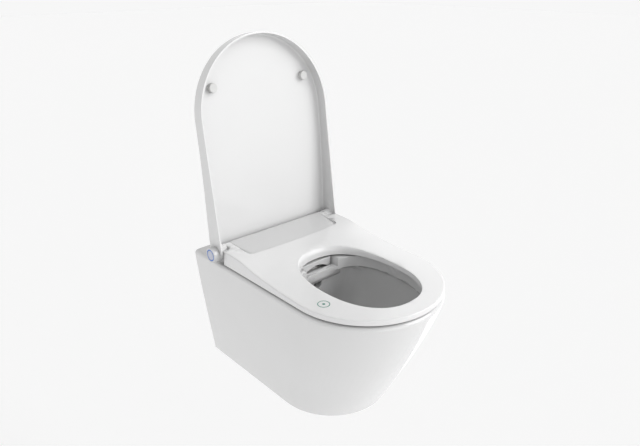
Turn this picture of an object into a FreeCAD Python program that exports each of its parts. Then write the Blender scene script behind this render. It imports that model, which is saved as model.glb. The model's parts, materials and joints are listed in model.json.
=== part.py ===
import FreeCAD, Part
import Sketcher
import math
import os
import re
from types import SimpleNamespace

Vector = FreeCAD.Vector
Rotation = FreeCAD.Rotation
Placement = FreeCAD.Placement

# Wall-hung shower toilet. X runs to the viewer's right, Y into the wall, Z up.
# The origin is midway between the two wall fixings, on the pan's back face.

# Driving sizes, in millimetres and degrees
sizes = {
    # pan outside
    "rimHeight": 85,
    "panHeight": 315,
    "panTopWidth": 371,
    "panTopDepth": 599.5,
    "panFootWidth": 294,
    "panFootDepth": 457,
    "panShoulder": 9,
    "panFootEdge": 6,
    "ceramicWall": 10,
    "bowlWall": 9,
    "deckWall": 13,
    "overrun": 3,
    # pan mouth and bowl
    "mouthHalfWidth": 125,
    "rimFront": 29.5,
    "mouthBack": 277,
    "rimBand": 31,
    "rimUndercut": 8,
    "apronDrop": 45,
    "apronHalfWidth": 62,
    "apronThickness": 15,
    "bowlDepth": 250,
    # pan connections
    "boltSpacing": 180,
    "boltHoleRadius": 10,
    "lugHalfWidth": 126,
    "lugHalfHeight": 26,
    "lugThickness": 22,
    "inletRise": 35,
    "inletRadius": 27.5,
    "inletDepth": 45,
    "inletWall": 8,
    "flushRadius": 13,
    "flushDrop": 60,
    "outletDrop": 100,
    "outletRadius": 51,
    "outletLength": 46,
    "outletInset": 2,
    "trapRadius": 27,
    "trapWall": 8,
    # wells in the ceramic deck
    "wellHalfWidth": 138,
    "wellBack": 62,
    "wellFront": 176,
    "wellDepth": 34,
    "sideWellInner": 52,
    "sideWellDepth": 60,
    "wellCorner": 12,
    "troughHalfWidth": 51,
    "troughDepth": 27,
    "ledgeDrop": 20.5,
    "anchorX": 36,
    "anchorY": 80,
    "anchorHoleRadius": 4.5,
    "serviceHoleRadius": 12,
    "serviceHoleX": 112,
    "serviceHoleY": 84,
    # hinge line
    "hingeSetback": 104,
    "hingeRise": 27,
    "axleRadius": 5,
    "axleInner": 119,
    "axleOuter": 187,
    "runningGap": 0.05,
    "bodyGap": 0.4,
    "bushRadius": 8,
    # seat
    "seatHalfWidth": 182.5,
    "seatSetback": 4.5,
    "seatLift": 5,
    "seatWall": 3,
    "seatEdge": 3,
    "seatBaseThickness": 3,
    "seatCutGap": 0.8,
    "seatTailY": 130,
    "seatEarInner": 144.2,
    "seatEarOuter": 161.5,
    "seatEarRadius": 16.5,
    "holeBack": 253,
    "holeHalfWidth": 108,
    "holeMargin": 42,
    "holeFlare": 27,
    "heaterThickness": 1,
    "heaterMargin": 8,
    "bufferRadius": 8,
    "frontBufferX": 150,
    "frontBufferInset": 145,
    "rearBufferX": 162,
    "rearBufferY": 205,
    # lid
    "lidHalfWidth": 187.5,
    "lidOverhang": 3.7,
    "lidTail": 10,
    "lidSkirt": 26,
    "lidWall": 4,
    "lidSkin": 3.5,
    "lidOuterEdge": 3,
    "lidInnerEdge": 4.5,
    "lidEarInner": 162.3,
    "lidEarRadius": 18.5,
    "lidWebRise": 21,
    "lidOpenAngle": 97.9,
    "bumperRadius": 11,
    "bumperX": 135,
    "bumperInset": 114,
    "bumperEdge": 2,
    # housing
    "housingHalfWidth": 143.3,
    "housingFrontRadius": 79.2,
    "housingCorner": 14.5,
    "housingBarrel": 17,
    "housingSlope": 0.12,
    "housingFoot": 0.5,
    "housingFlange": 4.5,
    "housingBack": 58,
    "housingWall": 2.5,
    "trayGap": 1.5,
    "trayWall": 2.2,
    "trayRim": 0.3,
    "bearingInner": 119,
    "bearingHalfWidth": 11,
    "damperRadius": 9,
    "damperInner": 70,
    "plateThickness": 2,
    "plateHalf": 43.4,
    "plateFront": 112,
    "boltShank": 3,
    "screwRadius": 1.7,
    "screwHead": 3.2,
    "screwBoss": 4,
    "screwLength": 12,
    "screwY": 74,
    "innerScrewX": 48,
    "outerScrewX": 128,
    # electrics
    "boardInner": 44,
    "boardOuter": 128,
    "boardFront": 168,
    "boardBack": 122,
    "boardLift": 2,
    "boardThickness": 1.6,
    "boardPostRadius": 2.5,
    "boardPostInset": 3.5,
    "inletShank": 8.3,
    "inletFlange": 11,
    "fittingDrop": 80,
    "cordRadius": 4,
    "filterRadius": 8,
    "filterLength": 25,
    "valveX": 64,
    "valveY": 68,
    "valveLength": 26,
    "valveDepth": 20,
    "valveRise": 21,
    "coilHeight": 12,
    "pumpX": 60,
    "pumpY": 104,
    "pumpDrop": 40,
    "pumpRadius": 13,
    "pumpLength": 38,
    "tankX": 60,
    "tankY": 124,
    "tankLength": 56,
    "tankDepth": 44,
    "tankHeight": 38,
    "hoseRadius": 2.5,
    "hoseDrop": 9,
    "wandHoseDrop": 19,
    "supplyX": 60,
    "supplyLength": 58,
    "supplyY": 112,
    "supplyHeight": 31,
    "odourY": 66,
    "odourDepth": 36,
    "odourLength": 40,
    "odourLift": 24,
    # knob
    "knobRadius": 19.2,
    "knobBaseStart": 188.2,
    "knobStart": 192.3,
    "knobEnd": 203,
    "knobEdge": 1.6,
    "ringInner": 12,
    "ringOuter": 14.6,
    "ringDepth": 2.5,
    "buttonRadius": 11,
    "buttonDepth": 4.7,
    "buttonThickness": 3.2,
    "buttonGap": 0.2,
    "capThickness": 2,
    "buttonProud": 0.1,
    "axleKnobEnd": 197,
    "knobBaseRadius": 18.5,
    "knobBaseEnd": 192,
    "knobBoreDepth": 5,
    # wand and its drive
    "wandRadius": 4.25,
    "wandDrop": 15.5,
    "wandTip": 250,
    "wandTail": 68,
    "wandBore": 2.6,
    "tipLength": 18,
    "rackRoot": 6.4,
    "rackTooth": 2,
    "rackHalfHeight": 2,
    "rackFront": 165,
    "gearModule": 1,
    "pressureAngle": 20,
    "backlash": 0.1,
    "jetRadius": 0.5,
    "jetStep": 3,
    "pinionTeeth": 14,
    "pinionY": 158,
    "pinionHalfHeight": 2.2,
    "motorRadius": 9.6,
    "motorLift": 8,
    "motorHeight": 15,
    "cradleHalfWidth": 27,
    "cradleThickness": 2.6,
    "cradleDrop": 26.6,
    "guideFrontY": 246,
    "guideBackY": 192,
    "guideHalfWidth": 7.5,
    "guideLength": 11,
    "guideGap": 0.09,
    # guard over the wand
    "guardFace": 258,
    "guardHalfWidth": 50,
    "guardThickness": 2.5,
    "guardDrop": 26.6,
    "guardBack": 177,
    "archDrop": 10.5,
    "archEndDrop": 25,
    "archHalfWidth": 40,
    # dryer
    "blowerX": 31,
    "blowerInlet": 9,
    "blowerMotorRadius": 11,
    "blowerMotorLength": 20,
    "shaftRadius": 1.5,
    "blowerWidth": 22,
    "blowerRadius": 23,
    "blowerY": 136,
    "blowerLift": 8,
    "blowerWall": 1.8,
    "fanRadius": 17,
    "fanHub": 6,
    "fanBlades": 14,
    "ductLeft": 31,
    "ductRight": 46,
    "ductStart": 160,
    "ductTop": 4.5,
    "ductBottom": 15,
    "ductEnd": 236,
    "ductWall": 1.2,
    "flapThickness": 1.5,
    "flapPin": 1,
    "flapPinDrop": 5.2,
    "flapEar": 1.3,
    "lightX": 24,
    "lightLength": 14,
    "lightY": 238,
    "lightDepth": 8,
    "lightHeight": 5.5,
    # wall fixings
    "sleeveRadius": 9.6,
    "sleeveBore": 6.5,
    "sleeveFlange": 14,
    "sleeveLip": 3,
}

# The lid's outside line: shares of its reach forward of the hinge line, and of its skirt above that line
lidProfileShares = (
    (-0.0484, 0.8192), (0.0000, 0.8923), (0.0605, 0.8692), (0.1290, 0.7769),
    (0.2681, 0.5385), (0.4859, 0.2846), (0.7661, 0.2077), (1.0181, 0.1846),
)
# Heights of the seat's outer edge and of its middle above the rim, as shares of the hinge line's rise, at even
# steps away from the wall that are shares of the seat's depth
seatStartShare = 0.1345
seatStepShare = 0.06387
seatHeightShares = (
    (1.630, 1.637), (1.581, 1.574), (1.519, 1.407), (1.441, 1.237), (1.181, 1.096),
    (0.930, 0.970), (0.800, 0.844), (0.696, 0.726), (0.630, 0.652), (0.615, 0.626),
    (0.611, 0.619), (0.611, 0.615), (0.619, 0.619), (0.630, 0.630), (0.644, 0.644),
)
# The bowl's sections from its top to its floor, as shares of its depth, width, front and rear reach and of
# how far the middle moves back
bowlShares = (
    (0.0, 1.0, 1.0, 1.0, 0.0),
    (0.12, 1.0, 0.90, 1.0, 0.0),
    (0.30, 0.95, 0.83, 0.97, 0.1),
    (0.50, 0.82, 0.74, 0.88, 0.35),
    (0.72, 0.60, 0.54, 0.68, 0.7),
    (0.90, 0.37, 0.33, 0.44, 1.0),
    (1.0, 0.22, 0.20, 0.27, 1.0),
)
bowlShiftShare = 0.3333
# How much of the mouth's length lies in front of its widest place
mouthFrontShare = 165 / 293
# The trap's centre line: shares of the pan's depth from the wall, and of its height up from its foot
trapRouteShares = ((0.6205, 0.24), (0.5171, 0.155), (0.4370, 0.2), (0.3703, 0.36), (0.2969, 0.45), (0.2135, 0.43))
# How the pan's sides bulge between foot and rim, and how square the mouth's rear half and the seat's hole are
panBulge = 1.15
mouthSquareness = 3.0
holeSquareness = 2.3

doc = FreeCAD.newDocument("BidetToilet")
sheet = doc.addObject("Spreadsheet::Sheet", "Sizes")
for row, (name, value) in enumerate(sizes.items(), 1):
    sheet.set(f"A{row}", name)
    sheet.set(f"B{row}", str(value))
    sheet.setAlias(f"B{row}", name)
doc.recompute()
size = SimpleNamespace(**{name: float(sheet.get(name)) for name in sizes})

# Places that follow the pan's depth
mouthLength = size.panTopDepth - size.rimFront - size.mouthBack
mouthFront = mouthLength * mouthFrontShare
mouthRear = mouthLength - mouthFront
mouthCentre = size.mouthBack + mouthRear
seatFront = size.panTopDepth - size.seatSetback
holeHalfLength = (seatFront - size.holeMargin - size.holeBack) / 2
holeCentre = size.holeBack + holeHalfLength
lidReach = size.panTopDepth + size.lidOverhang - size.hingeSetback
bumperReach = lidReach - size.bumperInset

# Places that several pieces share, as formulas over the sheet
hingeY = "(-hingeSetback)"
hingeZ = "(rimHeight + hingeRise)"
wandZ = "(rimHeight - wandDrop)"
pinionX = "(rackRoot + rackTooth * 0.55 + gearModule * pinionTeeth / 2)"
trayFloor = "(rimHeight - wellDepth + trayGap)"
trayFront = "(-wellFront + trayGap)"
trayBack = "(-wellBack - trayGap)"
traySide = "(wellHalfWidth - trayGap)"
blowerZ = "(rimHeight + blowerLift)"
bufferY = {"front": "(panTopDepth - seatSetback - frontBufferInset)", "rear": "rearBufferY"}

nodes = []


def inSheet(text):
    """A formula with each size's name turned into its cell in the sheet."""
    return re.sub(r"[A-Za-z]\w*", lambda m: "Sizes." + m[0] if m[0] in sizes else m[0], text)


def bind(item, **formulas):
    for prop, text in formulas.items():
        item.setExpression(prop, inSheet(text))


def place(item, x="0", y="0", z="0"):
    for axis, text in zip("xyz", (x, y, z)):
        item.setExpression("Placement.Base." + axis, inSheet(text))


def node(item, label):
    item.Label = label
    nodes.append(item)
    return item


def box(name, x, y, z):
    """A block between two formulas along each axis."""
    item = doc.addObject("Part::Box", name)
    bind(item, Length=f"({x[1]}) - ({x[0]})", Width=f"({y[1]}) - ({y[0]})", Height=f"({z[1]}) - ({z[0]})")
    place(item, x[0], y[0], z[0])
    return item


turns = {"X": Rotation(Vector(0, 1, 0), 90), "Y": Rotation(Vector(1, 0, 0), -90), "Z": Rotation()}


def rod(name, radius, along, low, high, x="0", y="0", z="0"):
    """A cylinder along one axis from low to high, its centre line at the other two coordinates."""
    item = doc.addObject("Part::Cylinder", name)
    item.Placement = Placement(Vector(), turns[along])
    bind(item, Radius=radius, Height=f"({high}) - ({low})")
    at = {"X": x, "Y": y, "Z": z}
    at[along] = low
    place(item, at["X"], at["Y"], at["Z"])
    return item


def fuse(name, *shapes):
    item = doc.addObject("Part::MultiFuse", name)
    item.Shapes = list(shapes)
    return item


def cut(name, base, *tools):
    item = doc.addObject("Part::Cut", name)
    item.Base = base
    item.Tool = tools[0] if len(tools) == 1 else fuse(name + "Tools", *tools)
    return item


def tube(name, outer, inner, along, low, high, **at):
    """A ring whose bore runs right through."""
    wall = rod(name + "Wall", outer, along, low, high, **at)
    bore = rod(name + "Bore", inner, along, f"({low}) - overrun", f"({high}) + overrun", **at)
    return cut(name, wall, bore)


def rounded(name, base, radius, choose):
    """Base with the edges that choose picks rounded."""
    doc.recompute()
    item = doc.addObject("Part::Fillet", name)
    item.Base = base
    picked = [n for n, edge in enumerate(base.Shape.Edges, 1) if choose(edge)]
    item.Edges = [(n, radius, radius) for n in picked]
    return item


def feature(name, shape):
    item = doc.addObject("Part::Feature", name)
    item.Shape = shape
    return item


def upright(edge):
    return len(edge.Vertexes) == 2 and edge.tangentAt(edge.FirstParameter).cross(Vector(0, 0, 1)).Length < 1e-6


def edgeAt(edge, axis, value):
    """Whether an edge lies in the plane where one coordinate has a value."""
    ends = edge.BoundBox
    low, high = getattr(ends, axis + "Min"), getattr(ends, axis + "Max")
    return abs(low - value) < 1e-3 and abs(high - value) < 1e-3


# Bodies drawn as sketches

def newBody(name):
    return doc.addObject("PartDesign::Body", name)


def sketchIn(body, name, role):
    sketch = body.newObject("Sketcher::SketchObject", name)
    plane = next(f for f in body.Origin.OriginFeatures if f.Role == role)
    sketch.AttachmentSupport = (plane, [""])
    sketch.MapMode = "FlatFace"
    return sketch


def drawCircle(sketch, radius):
    """A circle about the sketch's origin, its radius bound to a formula."""
    start = size.overrun
    n = sketch.addGeometry(Part.Circle(Vector(), Vector(0, 0, 1), start), False)
    sketch.addConstraint(Sketcher.Constraint("Coincident", n, 3, -1, 1))
    k = sketch.addConstraint(Sketcher.Constraint("Radius", n, start))
    sketch.setExpression(f"Constraints[{k}]", inSheet(radius))
    return n


def drawPolygon(sketch, points):
    """A closed outline whose corners are held by formulas; one that starts with a minus is below zero."""
    count = len(points)
    spots = [Vector(math.cos(2 * math.pi * n / count), math.sin(2 * math.pi * n / count)) for n in range(count)]
    lines = [sketch.addGeometry(Part.LineSegment(spots[n], spots[(n + 1) % count]), False) for n in range(count)]
    for n in range(count):
        sketch.addConstraint(Sketcher.Constraint("Coincident", lines[n - 1], 2, lines[n], 1))
    for line, corner in zip(lines, points):
        for kind, text in zip(("DistanceX", "DistanceY"), corner):
            ends = (line, 1, -1, 1) if text.startswith("-") else (-1, 1, line, 1)
            k = sketch.addConstraint(Sketcher.Constraint(kind, *ends, size.overrun))
            sketch.setExpression(f"Constraints[{k}]", inSheet(text.lstrip("-")))


def layer(body, kind, draw, low, high):
    """A pad or a pocket between two heights over the sketch's plane."""
    number = len(body.Group)
    sketch = sketchIn(body, f"{body.Name}Sketch{number}", body.Comment if hasattr(body, "Comment") else "XY_Plane")
    draw(sketch)
    sketch.setExpression(".AttachmentOffset.Base.z", inSheet(low))
    item = body.newObject("PartDesign::" + kind, f"{body.Name}{kind}{number}")
    item.Profile = sketch
    bind(item, Length=f"({high}) - ({low})")
    if kind == "Pocket":
        item.Reversed = True
    doc.recompute()
    return item


def discs(*radii):
    """Draws one or two circles about the sketch's origin."""
    return lambda sketch: [drawCircle(sketch, radius) for radius in radii]


def rectangle(x, y):
    corners = [(x[0], y[0]), (x[1], y[0]), (x[1], y[1]), (x[0], y[1])]
    return lambda sketch: drawPolygon(sketch, corners)


def turned(name, role, layers, **at):
    """A body of round layers about one axis: each is (kind, radii, low, high)."""
    body = doc.addObject("PartDesign::Body", name)
    body.addProperty("App::PropertyString", "Comment")
    body.Comment = role
    for kind, radii, low, high in layers:
        layer(body, kind, discs(*radii), low, high)
    place(body, **at)
    return body


def bodyFillet(body, radius, choose):
    base = body.Tip
    item = body.newObject("PartDesign::Fillet", body.Name + "Edges")
    picked = [f"Edge{n}" for n, edge in enumerate(base.Shape.Edges, 1) if choose(edge)]
    item.Base = (base, picked)
    bind(item, Radius=radius)
    doc.recompute()
    return item


def around(body, item, count):
    """Repeats one feature of a body about its sketch's axis."""
    ring = body.newObject("PartDesign::PolarPattern", body.Name + "Ring")
    ring.Originals = [item]
    ring.Axis = (item.Profile[0], ["N_Axis"])
    ring.Angle = 360
    bind(ring, Occurrences=count)
    body.Tip = ring
    doc.recompute()
    return ring



# Pan

def panOutline(share, inset, tail, z):
    """The pan's D-shaped outline at a share of its height, drawn in by an inset, at height z."""
    lean = (1 - share) ** panBulge
    halfWidth = (size.panTopWidth - (size.panTopWidth - size.panFootWidth) * lean) / 2 - inset
    depth = size.panTopDepth - (size.panTopDepth - size.panFootDepth) * lean - inset
    middle = -(depth - halfWidth)
    slant = halfWidth * math.sqrt(0.5)
    right, left = Vector(halfWidth, middle, z), Vector(-halfWidth, middle, z)
    front = Vector(0, -depth, z)
    edges = [
        Part.makeLine(Vector(halfWidth, tail, z), right),
        Part.Arc(right, Vector(slant, middle - slant, z), front).toShape(),
        Part.Arc(front, Vector(-slant, middle - slant, z), left).toShape(),
        Part.makeLine(left, Vector(-halfWidth, tail, z)),
        Part.makeLine(Vector(-halfWidth, tail, z), Vector(halfWidth, tail, z)),
    ]
    return Part.Wire(edges)


def panSolid(inset, tail, low, high):
    """The pan's outside, or a copy drawn in by an inset, between two heights."""
    foot = size.rimHeight - size.panHeight
    shares = (0, 0.25, 0.5, 0.75, 1)
    heights = [low + (high - low) * share for share in shares]
    wires = [panOutline((z - foot) / size.panHeight, inset, tail, z) for z in heights]
    return Part.makeLoft(wires, True, False)


def eggWire(halfWidth, front, rear, middle, z, squareness=(2, mouthSquareness)):
    """A closed smooth outline: an ellipse's half in front or a squarer one, and the same behind."""
    points = []
    steps = 28
    for n in range(steps):
        turn = 2 * math.pi * n / steps
        across, along = math.cos(turn), math.sin(turn)
        power = 2 / squareness[along > 0]
        reach = front if along <= 0 else rear
        x = halfWidth * math.copysign(abs(across) ** power, across)
        y = -middle + reach * math.copysign(abs(along) ** power, along)
        points.append(Vector(x, y, z))
    curve = Part.BSplineCurve()
    curve.interpolate(Points=points, PeriodicFlag=True)
    return Part.Wire([curve.toShape()])


def prismOf(wire, height):
    return Part.Face(wire).extrude(Vector(0, 0, height))


def bowlSolid(grow):
    """The bowl's hollow, or with grow the outside of its wall."""
    top = size.rimHeight - size.rimBand
    depth = size.bowlDepth - size.rimBand
    halfWidth = size.mouthHalfWidth + size.rimUndercut
    front = mouthFront + size.rimUndercut
    rear = mouthRear + size.apronThickness
    wires = []
    for down, wide, ahead, behind, back in bowlShares:
        z = top - depth * down - grow * down
        middle = mouthCentre - mouthFront * bowlShiftShare * back
        wires.append(eggWire(halfWidth * wide + grow, front * ahead + grow, rear * behind + grow, middle, z))
    return Part.makeLoft(wires, True, False)


def trapSolid(radius):
    """Straight runs of pipe along the trap's route with a ball at each bend."""
    foot = size.rimHeight - size.panHeight
    points = [Vector(0, -size.panTopDepth * away, foot + size.panHeight * up) for away, up in trapRouteShares]
    points.append(Vector(0, -size.outletLength * 2, -size.outletDrop))
    last = Vector(0, -size.outletLength + size.trapWall * 2, -size.outletDrop)
    pieces = []
    for a, b in zip(points, points[1:] + [last]):
        pieces.append(Part.makeCylinder(radius, (b - a).Length, a, b - a))
        if b is not last:
            pieces.append(Part.makeSphere(radius, b))
    return pieces[0].multiFuse(pieces[1:])


def block(x, y, z):
    """A block between two numbers along each axis."""
    low = Vector(x[0], y[0], z[0])
    return Part.makeBox(x[1] - x[0], y[1] - y[0], z[1] - z[0], low)


def roundedBlock(x, y, z, radius):
    solid = block(x, y, z)
    return solid.makeFillet(radius, [edge for edge in solid.Edges if upright(edge)])


def deckWells(grow):
    """The hollows in the ceramic deck that hold the shower unit, or with grow the outside of their walls."""
    top = size.rimHeight + size.overrun
    side = size.wellHalfWidth + grow
    y = (-size.wellFront - grow, -size.wellBack + grow)
    corner = size.wellCorner
    main = roundedBlock((-side, side), y, (size.rimHeight - size.wellDepth - grow, top), corner)
    inner = size.sideWellInner - grow
    deep = (size.rimHeight - size.sideWellDepth - grow, size.rimHeight - size.wellDepth)
    right = roundedBlock((inner, side), y, deep, corner)
    left = roundedBlock((-side, -inner), y, deep, corner)
    half = size.troughHalfWidth + grow
    troughFront = -mouthCentre + mouthRear + size.apronThickness
    trough = block((-half, half), (troughFront, -size.wellFront), (size.rimHeight - size.troughDepth - grow, top))
    return main.multiFuse([right, left, trough])


def ceramicPan():
    rim = size.rimHeight
    foot = rim - size.panHeight
    over = size.overrun
    outside = panSolid(0, over, foot, rim)
    top = [edge for edge in outside.Edges if edgeAt(edge, "Z", rim) and not edgeAt(edge, "Y", over)]
    outside = outside.makeFillet(size.panShoulder, top)
    low = [edge for edge in outside.Edges if edgeAt(edge, "Z", foot) and not edgeAt(edge, "Y", over)]
    outside = outside.makeFillet(size.panFootEdge, low)
    outside = outside.cut(block((-size.panTopWidth, size.panTopWidth), (0, over * 2), (foot - over, rim + over)))

    # the space between the outer wall and the bowl, open at the back
    hollow = panSolid(size.ceramicWall, over * 2, foot + size.ceramicWall, rim - size.deckWall)
    mouthWall = prismOf(eggWire(size.mouthHalfWidth + size.rimUndercut + size.bowlWall,
                                mouthFront + size.rimUndercut + size.bowlWall,
                                mouthRear + size.apronThickness + size.bowlWall,
                                mouthCentre, rim - size.rimBand), size.rimBand + over)
    lug = block((-size.lugHalfWidth, size.lugHalfWidth), (-size.lugThickness, over),
                (-size.lugHalfHeight, size.lugHalfHeight))
    inletWall = Part.makeCylinder(size.inletRadius + size.inletWall, size.inletDepth + size.inletWall + over,
                                  Vector(0, -size.inletDepth - size.inletWall, size.inletRise), Vector(0, 1, 0))
    flushZ = rim - size.flushDrop
    reach = mouthCentre - mouthRear - size.apronThickness
    flushWall = Part.makeCylinder(size.flushRadius + size.inletWall, reach,
                                  Vector(0, -reach, flushZ), Vector(0, 1, 0))
    hornY = -size.outletInset - size.outletLength
    horn = Part.makeCylinder(size.outletRadius, size.outletLength, Vector(0, hornY, -size.outletDrop),
                             Vector(0, 1, 0))
    solids = [mouthWall, bowlSolid(size.bowlWall), trapSolid(size.trapRadius + size.trapWall),
              deckWells(size.ceramicWall), lug, inletWall, flushWall, horn]
    pan = outside.cut(hollow)
    walls = solids[0].multiFuse(solids[1:]).common(outside)
    pan = pan.fuse(walls)

    # what is open inside those walls
    mouth = prismOf(eggWire(size.mouthHalfWidth, mouthFront, mouthRear, mouthCentre,
                            rim - size.rimBand - over), size.rimBand + 2 * over)
    rear = -mouthCentre + mouthRear
    apron = block((-size.apronHalfWidth, size.apronHalfWidth), (rear, rear + size.apronThickness + over),
                  (rim - size.apronDrop, rim - size.rimBand + over))
    bowl = bowlSolid(0).cut(apron)
    ledge = block((-size.troughHalfWidth, size.troughHalfWidth), (rear - over, rear + size.apronThickness),
                  (rim - size.ledgeDrop, rim + over))
    inlet = Part.makeCylinder(size.inletRadius, size.inletDepth + over,
                              Vector(0, -size.inletDepth, size.inletRise), Vector(0, 1, 0))
    flush = Part.makeCylinder(size.flushRadius, reach + size.bowlWall,
                              Vector(0, -reach - size.bowlWall, flushZ), Vector(0, 1, 0))
    wide = size.outletRadius - size.trapWall
    hornBore = Part.makeCylinder(wide, size.outletLength + over, Vector(0, hornY + size.trapWall, -size.outletDrop),
                                 Vector(0, 1, 0))
    bores = [Part.makeCylinder(size.boltHoleRadius, size.lugThickness + 2 * over,
                               Vector(side * size.boltSpacing / 2, -size.lugThickness - over, 0), Vector(0, 1, 0))
             for side in (-1, 1)]
    services = [Part.makeCylinder(size.serviceHoleRadius, size.ceramicWall + 2 * over,
                                  Vector(side * size.serviceHoleX, -size.serviceHoleY,
                                         rim - size.sideWellDepth - size.ceramicWall - over))
                for side in (-1, 1)]
    anchors = [Part.makeCylinder(size.anchorHoleRadius, size.ceramicWall + 2 * over,
                                 Vector(side * size.anchorX, -size.anchorY,
                                        rim - size.wellDepth - size.ceramicWall - over))
               for side in (-1, 1)]
    openings = [mouth, bowl, ledge, trapSolid(size.trapRadius), deckWells(0), inlet, flush, hornBore]
    for opening in openings + bores + services + anchors:
        pan = pan.cut(opening)
    return pan


node(feature("CeramicPan", ceramicPan()), "ceramic_pan")


# Seat

def dOutline(halfWidth, front, tail, z):
    """Straight sides from the tail forward into a half circle, at height z."""
    middle = -(front - halfWidth)
    slant = halfWidth * math.sqrt(0.5)
    right, left, nose = Vector(halfWidth, middle, z), Vector(-halfWidth, middle, z), Vector(0, -front, z)
    edges = [
        Part.makeLine(Vector(halfWidth, tail, z), right),
        Part.Arc(right, Vector(slant, middle - slant, z), nose).toShape(),
        Part.Arc(nose, Vector(-slant, middle - slant, z), left).toShape(),
        Part.makeLine(left, Vector(-halfWidth, tail, z)),
        Part.makeLine(Vector(-halfWidth, tail, z), Vector(halfWidth, tail, z)),
    ]
    return Part.Wire(edges)


def aboveSeat(drop):
    """Everything over the seat's dished top, or over a surface a little below it."""
    acrossShares = (-1.15, -0.8, -0.4, 0, 0.4, 0.8, 1.15)
    rows = []
    for n, (edge, middle) in enumerate(seatHeightShares):
        away = seatFront * (seatStartShare + seatStepShare * n)
        heights = [size.hingeRise * (middle + (edge - middle) * min(abs(share), 1) ** 2) for share in acrossShares]
        rows.append([Vector(share * size.seatHalfWidth, -away, size.rimHeight + height - drop)
                     for share, height in zip(acrossShares, heights)])
    surface = Part.BSplineSurface()
    surface.interpolate(rows)
    return surface.toShape().extrude(Vector(0, 0, size.rimHeight))


def seatHole(grow, low, high):
    """The flared hole through the seat, wider towards its top."""
    shares = ((0, 0), (0.12, 0.01), (0.28, 0.05), (0.46, 0.2), (0.66, 0.5), (1, 1))
    wires = []
    for up, flare in shares:
        wide = size.holeHalfWidth + size.holeFlare * flare + grow
        reach = holeHalfLength + size.holeFlare * flare + grow
        z = low + (high - low) * up
        wires.append(eggWire(wide, reach, reach, holeCentre, z, (holeSquareness, holeSquareness)))
    return Part.makeLoft(wires, True, False)


def hingeRod(radius, low, high):
    line = Vector(low, -size.hingeSetback, size.rimHeight + size.hingeRise)
    return Part.makeCylinder(radius, high - low, line, Vector(1, 0, 0))


def housingCut(gap):
    """The space that the housing takes out of the seat, turned about the hinge line."""
    half = size.housingHalfWidth + gap
    drum = hingeRod(size.housingFrontRadius + gap, -half, half)
    ends = [edge for edge in drum.Edges if edge.Curve.TypeId == "Part::GeomCircle"]
    drum = drum.makeFillet(size.housingCorner + gap, ends)
    behind = block((-half, half), (-size.hingeSetback, 0), (0, size.rimHeight * 3))
    return drum.fuse(behind)


def seatEars(grow):
    """The two barrels that hang the seat on the hinge line, joined to its sides."""
    ears = []
    for side in (-1, 1):
        near, far = size.seatEarInner - grow, size.seatEarOuter + grow
        low, high = sorted((side * near, side * far))
        barrel = hingeRod(size.seatEarRadius, low, high)
        top = size.rimHeight + size.hingeRise + size.seatEarRadius
        arm = block((low, high), (-size.seatTailY, -size.hingeSetback), (size.rimHeight + size.hingeRise, top))
        foot = block((low, high), (-size.seatTailY, -size.hingeSetback - size.bushRadius * 2),
                     (size.rimHeight + size.seatLift + size.seatWall, top))
        ears.append(barrel.multiFuse([arm, foot]))
    return ears


def seatTop():
    rim = size.rimHeight
    low = rim + size.seatLift
    tall = size.hingeRise * 2
    body = prismOf(dOutline(size.seatHalfWidth, seatFront, -size.seatTailY, low), tall)
    body = body.cut(aboveSeat(0))
    edges = [edge for edge in body.Edges if edge.BoundBox.ZMin > low + size.seatEdge * 3]
    edges = [edge for edge in edges if not edgeAt(edge, "Y", -size.seatTailY)]
    body = body.makeFillet(size.seatEdge, edges)
    body = body.cut(seatHole(0, low, low + size.hingeRise * 1.6))
    inner = prismOf(dOutline(size.seatHalfWidth - size.seatWall, seatFront - size.seatWall,
                             -size.seatTailY - size.seatWall, low - size.overrun), tall)
    inner = inner.cut(aboveSeat(size.seatWall))
    inner = inner.cut(seatHole(size.seatWall, low, low + size.hingeRise * 1.6))
    wallAround = housingCut(size.seatCutGap + size.seatWall)
    body = body.cut(inner.cut(wallAround))
    for ear in seatEars(0):
        body = body.fuse(ear.cut(aboveSeat(0)))
    body = body.cut(housingCut(size.seatCutGap))
    half = size.seatEarOuter + size.overrun
    return body.cut(hingeRod(size.bushRadius, -half, half))


def seatBase():
    low = size.rimHeight + size.seatLift
    inset = size.seatWall + size.trayRim
    plate = prismOf(dOutline(size.seatHalfWidth - inset, seatFront - inset, -size.seatTailY - inset, low),
                    size.seatBaseThickness)
    plate = plate.cut(seatHole(inset, low, low + size.hingeRise * 1.6))
    plate = plate.cut(housingCut(size.seatCutGap + inset))
    for ear in seatEars(size.trayRim):
        plate = plate.cut(ear)
    return plate


def seatHeater():
    """A thin film under the seat's skin, round the hole."""
    low = size.rimHeight + size.seatLift
    margin = size.heaterMargin
    film = prismOf(dOutline(size.seatHalfWidth - margin, seatFront - margin, -size.rearBufferY, low),
                   size.hingeRise * 2)
    film = film.cut(aboveSeat(size.seatWall + size.trayRim))
    film = film.common(aboveSeat(size.seatWall + size.trayRim + size.heaterThickness))
    return film.cut(seatHole(margin * 1.5, low, low + size.hingeRise * 1.6))


node(feature("SeatTop", seatTop()), "seat_top_shell")
node(feature("SeatBase", seatBase()), "seat_bottom_shell")
node(feature("SeatHeater", seatHeater()), "seat_heater")


# Lid

def lidCurve(drop, top):
    """A side outline of what lies over the lid's top, or over a surface below it, as a face across the lid."""
    hinge = Vector(0, -size.hingeSetback, size.rimHeight + size.hingeRise)
    points = [hinge + Vector(0, -lidReach * away, size.lidSkirt * up - drop) for away, up in lidProfileShares]
    curve = Part.BSplineCurve()
    curve.interpolate(points)
    first, last = points[0], points[-1]
    roof = size.rimHeight + size.hingeRise + top
    corners = [last, Vector(0, last.y, roof), Vector(0, first.y, roof), first]
    edges = [curve.toShape()] + [Part.makeLine(a, b) for a, b in zip(corners, corners[1:])]
    return Part.Face(Part.Wire(edges))


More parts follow.
